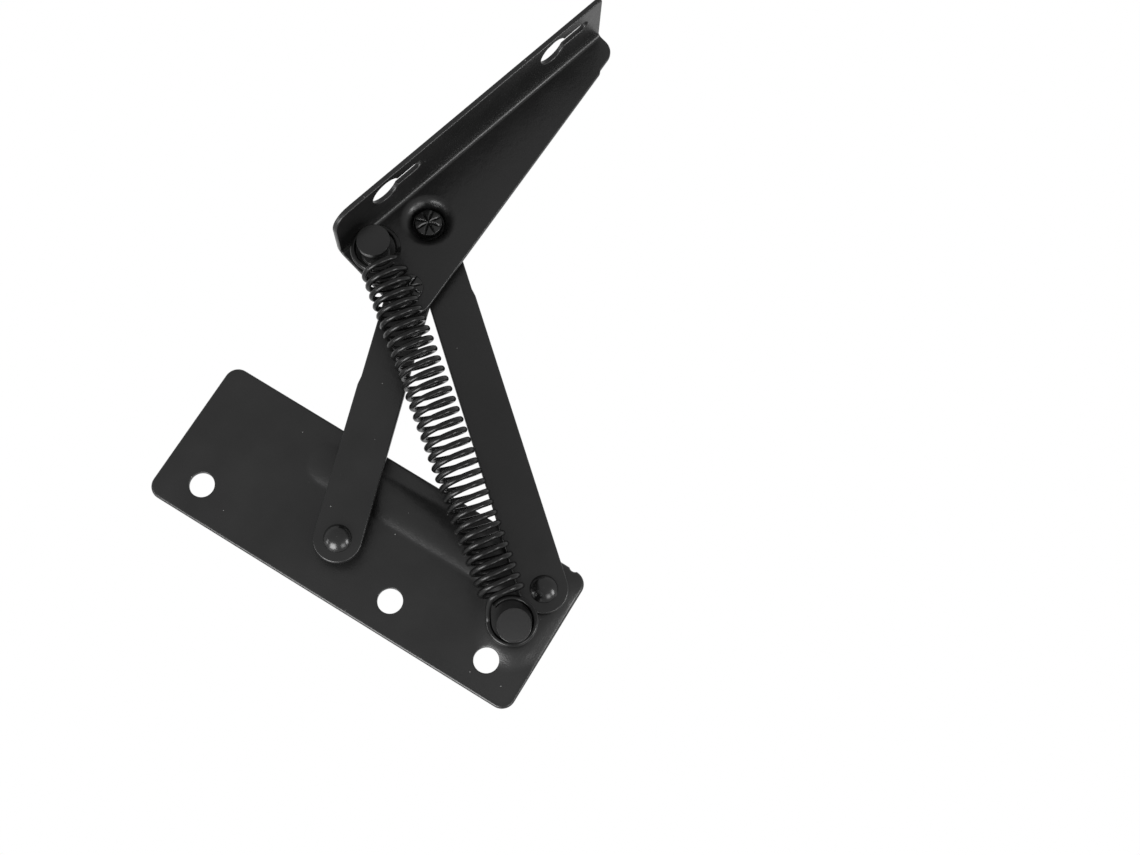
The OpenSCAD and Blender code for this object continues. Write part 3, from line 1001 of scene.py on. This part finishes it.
    def build(self, finisher: Finisher) -> None:
        """Makes both faces and the rounded edges and dresses the plate.

        Args:
            finisher: Dresses the piece.
        """
        loops = [self._outline(), *self._holes()]
        roundings = [self.edge_r] + [self.hole_edge_r] * (len(loops) - 1)
        plan, faces = self._plan([stepped_in(loop, r) for loop, r in zip(loops, roundings)])
        verts = self._lifted(plan, 0.0, self.thick) + self._lifted(plan, self.hollow_inset, 0.0)
        polygons = [tuple(f) for f in faces] + [tuple(f[::-1] + len(plan)) for f in faces]
        for loop, r in zip(loops, roundings):
            rows, count, first = self._rows(loop, r), len(loop), len(verts)
            for places, share, drop in rows:
                inset = 0.0 if share else self.hollow_inset
                verts += self._lifted(places, inset, share * self.thick - drop)
            for low in range(first, first + (len(rows) - 1) * count, count):
                high = low + count
                polygons += [(low + k, high + k, high + (k + 1) % count, low + (k + 1) % count)
                             for k in range(count)]
        mesh = bpy.data.meshes.new("base_plate_painted")
        mesh.from_pydata(verts, [], polygons)
        piece = sealed(linked("base_plate_painted", mesh), self.merge)
        piece.data.shade_smooth()
        finisher.dress(piece, Slot.PLATE, ["base_plate"], Body.BASE)


class Tree:
    """Short way to build a Geometry Nodes tree."""

    def __init__(self, name: str, sizes: dict[str, tuple[str, float]]) -> None:
        """Starts a tree.

        Args:
            name: Name of the tree.
            sizes: Named inputs, each with its socket type and its value.
        """
        self.group = bpy.data.node_groups.new(name, "GeometryNodeTree")
        face = self.group.interface
        face.new_socket("Geometry", in_out="INPUT", socket_type="NodeSocketGeometry")
        self.ids: dict[str, str] = {}
        self.values: dict[str, float] = {}
        for label, (kind, value) in sizes.items():
            socket = face.new_socket(label, in_out="INPUT", socket_type=kind)
            self.ids[label] = socket.identifier
            self.values[label] = value
        face.new_socket("Geometry", in_out="OUTPUT", socket_type="NodeSocketGeometry")
        self.source = self.group.nodes.new("NodeGroupInput")
        self.sink = self.group.nodes.new("NodeGroupOutput")

    def add(self, kind: str, inputs: dict[str | int, object], **settings: object) -> Node:
        """Adds a node, as add_node does."""
        return add_node(self.group, kind, inputs, **settings)

    def size(self, label: str) -> NodeSocket:
        """Output socket of a named input."""
        return self.source.outputs[label]

    def finish(self, geometry: NodeSocket, paint: Material) -> None:
        """Ends the tree in Realize Instances and Set Material.

        Args:
            geometry: Socket of the finished shape.
            paint: Material that it gets.
        """
        real = self.add("GeometryNodeRealizeInstances", {0: geometry})
        painted = self.add("GeometryNodeSetMaterial", {0: real.outputs[0], "Material": paint})
        self.group.links.new(painted.outputs[0], self.sink.inputs[0])

    def run(self, piece: Object) -> Object:
        """Puts the tree on a piece and turns the result into plain mesh.

        Args:
            piece: Object whose mesh the tree starts from.

        Returns:
            The same object, without the modifier.
        """
        modifier = piece.modifiers.new(self.group.name, "NODES")
        modifier.node_group = self.group
        for label, key in self.ids.items():
            modifier[key] = self.values[label]
        return baked(piece)


def round_rod(name: str, centre: Vector, outline: Sequence[tuple[float, float]],
              sides: int = 64) -> Object:
    """Turns an outline round an axis that points at the viewer.

    Args:
        name: Name of the piece.
        centre: Point on the axis; only its x and z count.
        outline: Radius and height in front of the plate's back at each corner, from one
            end of the axis to the other, in metres.
        sides: Faces round the axis.

    Returns:
        A closed object.
    """
    bm = bmesh.new()
    rings = []
    for radius, height in outline:
        rings.append([bm.verts.new((centre.x + radius * math.cos(a), -height,
                                    centre.z + radius * math.sin(a)))
                      for a in (2 * math.pi * k / sides for k in range(sides))])
    for low, high in zip(rings, rings[1:]):
        for k in range(sides):
            n = (k + 1) % sides
            bm.faces.new((low[k], low[n], high[n], high[k]))
    for ring in (rings[0], rings[-1]):
        bm.faces.new(ring)
    bmesh.ops.recalc_face_normals(bm, faces=bm.faces)
    return new_piece(name, bm)


@dataclass
class StarRivet:
    """Rivet whose head is pressed into a star of wedges.

    Attributes:
        node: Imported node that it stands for.
        head_r: Radius of the head, in metres.
        head_h: Height of the head, in metres.
        grooves: Number of grooves.
        groove_w: Width of a groove, in metres.
        groove_h: Depth of a groove, in metres.
        groove_fade: How fast a groove gets shallower towards the head's edge.
        groove_end: Share of its depth that a groove has left at the edge.
        crown: How much higher the head's middle is than its edge, in metres.
        rim: Radius of the head's rounded shoulder, in metres.
        turn: Turn of the first groove, in radians.
        across: Faces across a wedge.
        rings: Radius of the head, in rings of faces.
        flat_rings: How many of those rings there are before the shoulder.
        shoulder_rings: Rings of faces on the shoulder.
        shoulder_share: Share of the shoulder's width that those rings take up.
        merge: Corners of neighbouring wedges nearer than this are merged, in metres.
        head_crease: Edges of the head that turn further than this stay crisp, in radians.
        rod_crease: The same for the shank.
    """

    node: str
    head_r: float = 5.1 * MM
    head_h: float = 1.5 * MM
    grooves: int = 8
    groove_w: float = 1.25 * MM
    groove_h: float = 0.62 * MM
    groove_fade: float = 1.6
    groove_end: float = 0.35
    crown: float = 0.35 * MM
    rim: float = 0.45 * MM
    turn: float = 0.0
    across: int = 16
    rings: int = 12
    flat_rings: int = 10
    shoulder_rings: int = 4
    shoulder_share: float = 0.98
    merge: float = 0.001 * MM
    head_crease: float = math.radians(32)
    rod_crease: float = math.radians(30)

    def __post_init__(self) -> None:
        """Takes the rivet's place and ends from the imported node."""
        low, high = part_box(self.node)
        self.centre = node_centre(self.node)
        self.front = -low[1]
        self.back = -high[1]
        self.foot = self.front - self.head_h

    def _height(self, r: float, a: float) -> float:
        """Works out the height of a wedge's surface.

        Args:
            r: Distance from the axis.
            a: Angle from the wedge's middle line.

        Returns:
            Height above the head's foot.
        """
        lead = r * math.sin(max(math.pi / self.grooves - abs(a), 0.0))
        dent = max(0.0, 1.0 - lead / (self.groove_w / 2)) * self.groove_h
        share = r / self.head_r
        dent *= min(1.0, self.groove_fade * (1 - share) + self.groove_end)
        edge = max(0.0, (r - (self.head_r - self.rim)) / self.rim)
        shoulder = self.rim * (1 - math.sqrt(max(0.0, 1 - edge * edge)))
        return self.head_h - self.crown * share * share - dent - shoulder

    def _wedge(self) -> Object:
        """Makes one wedge of the head.

        Returns:
            The wedge, as a sheet with its side wall.
        """
        bm = bmesh.new()
        half = math.pi / self.grooves
        shoulder = self.rim * self.shoulder_share
        radii = [self.head_r * k / self.rings for k in range(self.flat_rings + 1)]
        radii += [self.head_r - shoulder * math.cos(math.pi / 2 * k / self.shoulder_rings)
                  for k in range(self.shoulder_rings + 1)]
        angles = [half * (2 * k / self.across - 1) for k in range(self.across + 1)]
        rows = [[bm.verts.new((r * math.cos(a), -self._height(r, a), r * math.sin(a)))
                 for a in angles] for r in radii]
        rows.append([bm.verts.new((v.co.x, 0.0, v.co.z)) for v in rows[-1]])
        for low, high in zip(rows, rows[1:]):
            for k in range(self.across):
                bm.faces.new((low[k], low[k + 1], high[k + 1], high[k]))
        bmesh.ops.remove_doubles(bm, verts=bm.verts, dist=SAME_PLACE)
        return new_piece(f"{self.node}_head", bm)

    def _head(self, paint: Material) -> Object:
        """Repeats the wedge round the axis and closes the head.

        Args:
            paint: Material of the head.

        Returns:
            The head, in its place.
        """
        tree = Tree("star_head", {"Wedges": ("NodeSocketInt", self.grooves),
                                  "Turn": ("NodeSocketFloat", self.turn)})
        ring = tree.add("GeometryNodeMeshLine", {"Count": tree.size("Wedges"), "Offset": (0, 0, 0)})
        place = tree.add("GeometryNodeInputIndex", {})
        step = tree.add("ShaderNodeMath", {0: 2 * math.pi, 1: tree.size("Wedges")}, operation="DIVIDE")
        angle = tree.add("ShaderNodeMath", {
            0: place.outputs[0], 1: step.outputs[0], 2: tree.size("Turn")}, operation="MULTIPLY_ADD")
        turn = tree.add("ShaderNodeCombineXYZ", {"Y": angle.outputs[0]})
        copies = tree.add("GeometryNodeInstanceOnPoints", {
            "Points": ring.outputs[0], "Instance": tree.size("Geometry"), "Rotation": turn.outputs[0]})
        real = tree.add("GeometryNodeRealizeInstances", {0: copies.outputs[0]})
        closed = tree.add("GeometryNodeMergeByDistance", {0: real.outputs[0], "Distance": self.merge})
        tree.finish(closed.outputs[0], paint)
        head = tree.run(self._wedge())
        head.data.transform(Matrix.Translation((self.centre.x, -self.foot, self.centre.z)))
        return sealed(head)

    def build(self, finisher: Finisher, body: Body, shank: Sequence[tuple[float, float]]) -> None:
        """Makes the head from its wedges and the shank from its outline.

        Args:
            finisher: Dresses the pieces.
            body: Body that the rivet rides on.
            shank: Outline of what is behind the head, for round_rod.
        """
        head = smoothed(self._head(finisher.paints[Slot.HARDWARE]), self.head_crease)
        finisher.dress(head, Slot.HARDWARE, [self.node], body)
        rod = smoothed(round_rod(f"{self.node}_shank", self.centre, shank), self.rod_crease)
        finisher.dress(rod, Slot.HARDWARE, [self.node], body)


@dataclass
class TensionSpring:
    """Tension spring with an eye at each end, as one bent wire.

    The path is worked out in its own frame: u runs from the lower stud to the upper one,
    v to its left as seen from the front, and h towards the viewer. Sizes are in metres and
    angles in radians.

    Attributes:
        wire_r: Radius of the wire.
        coil_r: Radius of the coil's middle line.
        turns: Number of turns.
        eye_r: Radius of an eye's middle line.
        eye_in: How far an eye's middle lies from its stud, towards the coil.
        coil_in: How far the coil's end lies from the stud.
        coil_rise: Height of the coil's axis over the eyes.
        lean: How far the front of each turn is moved along the coil.
        lean_turns: Turns at each end over which the lean sets in.
        eye_from: Angle at which an eye's wire starts.
        eye_to: Angle at which it leaves the eye.
        join: Angle at which the coil starts and ends.
        low_level: Height of the lower eye over the plate's back.
        high_level: Height of the upper eye over the plate's back.
        bend_pull: How far the bend between eye and coil keeps to the line of each.
        eye_steps: Wire pieces in a full turn of an eye.
        bend_steps: Wire pieces in a bend.
        steps_per_turn: Wire pieces in a turn of the coil.
        sides: Faces round the wire.
        crease: Edges that turn further than this stay crisp.
    """

    wire_r: float = 1.05 * MM
    coil_r: float = 7.25 * MM
    turns: int = 32
    eye_r: float = 8.0 * MM
    eye_in: float = 2.1 * MM
    coil_in: float = 10.7 * MM
    coil_rise: float = 2.2 * MM
    lean: float = -0.8 * MM
    lean_turns: float = 2.0
    eye_from: float = math.radians(30)
    eye_to: float = math.radians(-285)
    join: float = math.radians(65)
    low_level: float = 14.65 * MM
    high_level: float = 22.4 * MM
    bend_pull: float = 9 * MM
    eye_steps: int = 64
    bend_steps: int = 14
    steps_per_turn: int = 28
    sides: int = 18
    crease: float = math.radians(50)

    def __post_init__(self) -> None:
        """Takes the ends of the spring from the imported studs."""
        self.start = node_centre("lower_spring_stud")
        end = node_centre("upper_spring_stud")
        way = Vector((end.x - self.start.x, 0.0, end.z - self.start.z))
        self.length = way.length
        self.body = self.length - 2 * self.coil_in
        self.along = way.normalized()
        self.left = Vector((-self.along.z, 0.0, self.along.x))

    def _eye(self) -> list[Vector]:
        """Draws the lower eye.

        Returns:
            Its points, in the spring's frame.
        """
        count = round((self.eye_from - self.eye_to) / (2 * math.pi) * self.eye_steps)
        turns = (self.eye_from + (self.eye_to - self.eye_from) * k / count for k in range(count + 1))
        return [Vector((self.eye_in + self.eye_r * math.cos(a), self.eye_r * math.sin(a), 0.0))
                for a in turns]

    def _coil(self) -> list[Vector]:
        """Draws the coil.

        Returns:
            Its points, in the spring's frame.
        """
        sweep = 2 * math.pi * self.turns + math.pi - 2 * self.join
        count = round(sweep / (2 * math.pi) * self.steps_per_turn)
        points = []
        for k in range(count + 1):
            a = self.join + sweep * k / count
            lean = self.lean * min(1.0, min(k, count - k) / (self.lean_turns * self.steps_per_turn))
            points.append(Vector((self.coil_in + self.body * k / count + lean * math.sin(a),
                                  self.coil_r * math.cos(a),
                                  self.coil_rise + self.coil_r * math.sin(a))))
        return points

    def _bend(self, first: Vector, coil: list[Vector]) -> list[Vector]:
        """Draws the bend that rises from the eye to the coil.

        Args:
            first: Last point of the eye.
            coil: Points of the coil.

        Returns:
            The bend's points without its ends.
        """
        leave = Vector((math.sin(self.eye_to), -math.cos(self.eye_to), 0.0)) * self.bend_pull
        arrive = (coil[1] - coil[0]).normalized() * self.bend_pull
        points = []
        for k in range(1, self.bend_steps):
            t = k / self.bend_steps
            points.append((2 * t ** 3 - 3 * t ** 2 + 1) * first + (t ** 3 - 2 * t ** 2 + t) * leave
                          + (3 * t ** 2 - 2 * t ** 3) * coil[0] + (t ** 3 - t ** 2) * arrive)
        return points

    def path(self) -> list[Vector]:
        """Draws the wire's middle line.

        Returns:
            Its points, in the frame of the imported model.
        """
        eye, coil = self._eye(), self._coil()
        lower = eye + self._bend(eye[-1], coil)
        upper = [Vector((self.length - p.x, -p.y, p.z)) for p in reversed(lower)]
        points = []
        for p in lower + coil + upper:
            share = min(1.0, max(0.0, (p.x - self.coil_in) / self.body))
            level = self.low_level + (self.high_level - self.low_level) * share
            place = self.start + self.along * p.x + self.left * p.y
            points.append(Vector((place.x, -(level + p.z), place.z)))
        return points

    def _wire(self, paint: Material) -> Object:
        """Sweeps the wire's round section along its middle line.

        Args:
            paint: Material of the wire.

        Returns:
            The wire, closed at its ends.
        """
        points = [tuple(p) for p in self.path()]
        mesh = bpy.data.meshes.new("spring_wire")
        mesh.from_pydata(points, [(k, k + 1) for k in range(len(points) - 1)], [])
        tree = Tree("bent_wire", {"Wire radius": ("NodeSocketFloat", self.wire_r),
                                  "Sides": ("NodeSocketInt", self.sides)})
        line = tree.add("GeometryNodeMeshToCurve", {0: tree.size("Geometry")})
        ring = tree.add("GeometryNodeCurvePrimitiveCircle", {
            "Resolution": tree.size("Sides"), "Radius": tree.size("Wire radius")})
        tube = tree.add("GeometryNodeCurveToMesh", {
            "Curve": line.outputs[0], "Profile Curve": ring.outputs[0], "Fill Caps": True})
        tree.finish(tube.outputs[0], paint)
        return sealed(tree.run(linked("spring_wire", mesh)))

    def build(self, finisher: Finisher) -> None:
        """Makes the wire and dresses it, on no body.

        Args:
            finisher: Dresses the piece.
        """
        piece = smoothed(self._wire(finisher.paints[Slot.SPRING]), self.crease)
        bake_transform(piece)
        finisher.dress(piece, Slot.SPRING, ["spring", "spring_upper_eye"], None)


@dataclass
class Hinge:
    """The whole hinge, in the order of its sub-assemblies.

    Attributes:
        finisher: Dresses the pieces.
        shank_r: Radius of a star-pressed rivet's shank, in metres.
        stop_r: Radius of the rear head that stops on the long link, in metres.
        stop_front: Height of that head's front over the plate's back, in metres.
        stop_bevel: Width of its bevels, in metres.
    """

    finisher: Finisher
    shank_r: float = 3.0 * MM
    stop_r: float = 5.16 * MM
    stop_front: float = 7.4 * MM
    stop_bevel: float = 0.2 * MM

    def plates(self) -> None:
        """Base plate and bracket."""
        PressedPlate().build(self.finisher)
        seat, lower, stud = (node_centre(name) for name in (
            "long_link_star_rivet", "short_link_star_rivet", "upper_spring_stud"))
        SoftenedSolid("bracket", Slot.BRACKET, Body.BRACKET, edge=0.55 * MM, press=0.4 * MM,
                      thick=2.0 * MM, dish=SoftDish(seat), bores=(seat, lower, stud),
                      clamp=False).build(self.finisher)

    def links(self) -> None:
        """Both flat links."""
        RoundedBar("short_link", Body.SHORT_LINK).build(self.finisher)
        RoundedBar("long_link", Body.LONG_LINK).build(self.finisher)

    def rivets(self) -> None:
        """Domed rivets, the spacer, star-pressed rivets and studs."""
        for node, body, radius in (("short_link_spacer", Body.BASE, 0.15 * MM),
                                   ("short_link_rivet", Body.BASE, 0.15 * MM),
                                   ("long_link_rivet", Body.BASE, 0.15 * MM),
                                   ("long_link_rivet_tail", Body.LONG_LINK, 0.3 * MM),
                                   ("lower_spring_stud", Body.BASE, 0.3 * MM),
                                   ("upper_spring_stud", Body.BRACKET, 0.3 * MM)):
            SoftenedSolid(node, Slot.HARDWARE, body, edge=radius, press=radius).build(self.finisher)
        self._star_rivets()

    def _star_rivets(self) -> None:
        """The two rivets of the bracket, of which the lower one has a rear head."""
        upper = StarRivet("long_link_star_rivet", turn=math.radians(7))
        upper.build(self.finisher, Body.BRACKET,
                    [(self.shank_r, upper.back), (self.shank_r, upper.foot)])
        lower = StarRivet("short_link_star_rivet", turn=math.radians(20))
        wide, narrow = self.stop_r, self.stop_r - self.stop_bevel
        lower.build(self.finisher, Body.BRACKET, [
            (narrow, lower.back), (wide, lower.back + self.stop_bevel),
            (wide, self.stop_front - self.stop_bevel), (narrow, self.stop_front),
            (self.shank_r, self.stop_front), (self.shank_r, lower.foot)])

    def spring(self) -> None:
        """The tension spring."""
        TensionSpring().build(self.finisher)

    def build(self) -> None:
        """Makes every sub-assembly and logs it."""
        for part in (self.plates, self.links, self.rivets, self.spring):
            part()
            LOG.info("made %s", part.__name__)


@dataclass(frozen=True)
class Viewpoint:
    """The photograph's camera, fitted to the plate's corners, holes and pivots.

    Attributes:
        place: Where it stands, in metres.
        right: Direction of the picture's right.
        up: Direction of the picture's top.
        lens: Focal length, in millimetres.
        sensor: Width of the sensor, in millimetres.
        clip: Nearest and farthest distance that it sees, in metres.
    """

    place: tuple[float, float, float] = (0.10400, -0.57474, -0.05847)
    right: tuple[float, float, float] = (0.85423, -0.03679, 0.51859)
    up: tuple[float, float, float] = (-0.50882, -0.26391, 0.81942)
    lens: float = 52.139
    sensor: float = 36.0
    clip: tuple[float, float] = (0.01, 20.0)

    def axes(self) -> Matrix:
        """Works out the camera's turn.

        Returns:
            Matrix whose columns are the picture's right, its top and the way to the camera.
        """
        right = Vector(self.right).normalized()
        back = right.cross(Vector(self.up)).normalized()
        return Matrix((right, back.cross(right), back)).transposed()

    def build(self) -> None:
        """Makes the camera and puts it in charge."""
        data = bpy.data.cameras.new("photo_camera")
        data.lens = self.lens
        data.sensor_width = self.sensor
        data.sensor_fit = "HORIZONTAL"
        data.clip_start, data.clip_end = self.clip
        camera = bpy.data.objects.new("photo_camera", data)
        camera.matrix_world = Matrix.Translation(self.place) @ self.axes().to_4x4()
        bpy.context.collection.objects.link(camera)
        bpy.context.scene.camera = camera


@dataclass(frozen=True)
class SoftBox:
    """A soft lamp, placed by its direction in the photograph.

    Attributes:
        name: Name of the lamp.
        right: Share of its direction towards the picture's right.
        up: Share of its direction towards the picture's top.
        near: Share of its direction towards the camera.
        width: Width of the lamp along the picture, in metres.
        height: Its other side, in metres.
        power: Its power, in watts.
        reach: Its distance from the object, in metres.
    """

    name: str
    right: float
    up: float
    near: float
    width: float
    height: float
    power: float
    reach: float = 0.9

    def build(self, axes: Matrix, target: Vector) -> None:
        """Makes the lamp and aims it at the object.

        Args:
            axes: The camera's turn.
            target: Middle of the object.
        """
        data = bpy.data.lights.new(self.name, "AREA")
        data.shape = "RECTANGLE"
        data.size = self.width
        data.size_y = self.height
        data.energy = self.power
        lamp = bpy.data.objects.new(self.name, data)
        lamp.visible_camera = False
        way = (axes @ Vector((self.right, self.up, self.near))).normalized()
        rise = way.cross(axes @ Vector((1, 0, 0))).normalized()
        turn = Matrix((rise.cross(way), rise, way)).transposed()
        lamp.matrix_world = Matrix.Translation(target + way * self.reach) @ turn.to_4x4()
        bpy.context.collection.objects.link(lamp)


@dataclass(frozen=True)
class SnootLamp:
    """A small lamp with a narrow cone, mirrored by the plate's lower right corner.

    Attributes:
        place: Where it hangs, in metres.
        aim: Where it points.
        cone: Full angle of its cone, in radians.
        fade: Share of the cone over which it fades out.
        size: Radius of the lamp, in metres.
        power: Its power, in watts.
    """

    place: tuple[float, float, float] = (0.0115, -0.895, 0.100)
    aim: tuple[float, float, float] = (0.073, -0.002, -0.007)
    cone: float = math.radians(3.4)
    fade: float = 1.0
    size: float = 0.02
    power: float = 0.65

    def build(self) -> None:
        """Makes the lamp and aims it."""
        data = bpy.data.lights.new("snoot_lamp", "SPOT")
        data.energy = self.power
        data.spot_size = self.cone
        data.spot_blend = self.fade
        data.shadow_soft_size = self.size
        lamp = bpy.data.objects.new("snoot_lamp", data)
        lamp.visible_camera = False
        lamp.location = self.place
        way = Vector(self.aim) - Vector(self.place)
        lamp.rotation_euler = way.to_track_quat("-Z", "Y").to_euler()
        bpy.context.collection.objects.link(lamp)


@dataclass(frozen=True)
class Studio:
    """White surroundings, a pale floor and soft light.

    Attributes:
        target: Middle of the object, which the soft lamps point at.
        floor_level: Height of the floor, in metres.
        floor_size: Length of its sides, in metres.
        floor_shade: Its colour, linear grey.
        floor_rough: Its roughness.
        floor_glow: How brightly it glows where it is seen.
        ambient: How brightly the surroundings light the object.
        boxes: The soft lamps.
        snoot: The small lamp.
    """

    target: tuple[float, float, float] = (0.0, -0.01, 0.1)
    floor_level: float = -1.0
    floor_size: float = 12.0
    floor_shade: float = 0.9
    floor_rough: float = 0.8
    floor_glow: float = 0.55
    ambient: float = 0.35
    boxes: tuple[SoftBox, ...] = (
        SoftBox("low_left_box", right=-0.472, up=-0.604, near=0.643, width=0.5, height=0.5, power=16.0),
        SoftBox("low_right_box", right=0.512, up=-0.569, near=0.643, width=0.35, height=0.35, power=3.2),
        SoftBox("left_box", right=-0.92, up=-0.2, near=0.35, width=0.12, height=0.3, power=1.5),
        SoftBox("right_box", right=0.88, up=-0.22, near=0.42, width=0.2, height=0.35, power=5.0),
    )
    snoot: SnootLamp = SnootLamp()

    @staticmethod
    def _where_seen(tree: NodeTree) -> NodeSocket:
        """Tells rays that show a thing from rays that light one.

        Args:
            tree: Tree of a material or of the world.

        Returns:
            1 for rays from the camera, from mirrors and through glass, and 0 for light.
        """
        path = add_node(tree, "ShaderNodeLightPath", {})
        seen = path.outputs["Is Camera Ray"]
        for kind in ("Is Glossy Ray", "Is Transmission Ray"):
            seen = add_node(tree, "ShaderNodeMath", {0: seen, 1: path.outputs[kind]},
                            operation="MAXIMUM").outputs["Value"]
        return seen

    def world(self) -> None:
        """White background that lights the object only as much as the ambient level."""
        world = bpy.data.worlds.new("white_room")
        world.use_nodes = True
        bpy.context.scene.world = world
        tree = world.node_tree
        shade = tree.nodes["Background"]
        shade.inputs["Color"].default_value = (1, 1, 1, 1)
        pick = add_node(tree, "ShaderNodeMapRange", {
            "Value": self._where_seen(tree), "To Min": self.ambient, "To Max": 1.0})
        tree.links.new(pick.outputs["Result"], shade.inputs["Strength"])

    def floor(self) -> None:
        """Plain pale floor below the hinge."""
        bpy.ops.mesh.primitive_plane_add(size=self.floor_size, location=(0, 0, self.floor_level))
        floor = bpy.context.active_object
        floor.name = "studio_floor"
        mat = bpy.data.materials.new("pale_floor")
        mat.use_nodes = True
        tree = mat.node_tree
        shader = tree.nodes["Principled BSDF"]
        shader.inputs["Base Color"].default_value = (*[self.floor_shade] * 3, 1)
        shader.inputs["Roughness"].default_value = self.floor_rough
        shader.inputs["Emission Color"].default_value = (1, 1, 1, 1)
        glow = add_node(tree, "ShaderNodeMath", {0: self._where_seen(tree), 1: self.floor_glow},
                        operation="MULTIPLY")
        tree.links.new(glow.outputs["Value"], shader.inputs["Emission Strength"])
        floor.data.materials.append(mat)

    def build(self, axes: Matrix) -> None:
        """Makes the surroundings and the lamps.

        Args:
            axes: The camera's turn.
        """
        self.world()
        self.floor()
        for box in self.boxes:
            box.build(axes, Vector(self.target))
        self.snoot.build()


def main() -> None:
    """Builds the camera, the hinge and the studio."""
    logging.basicConfig(level=logging.INFO, format="%(message)s")
    bpy.context.scene.view_settings.view_transform = "Standard"
    view = Viewpoint()
    view.build()
    Hinge(Finisher(Finishes().made())).build()
    Studio().build(view.axes())


if __name__ == "__main__":
    main()
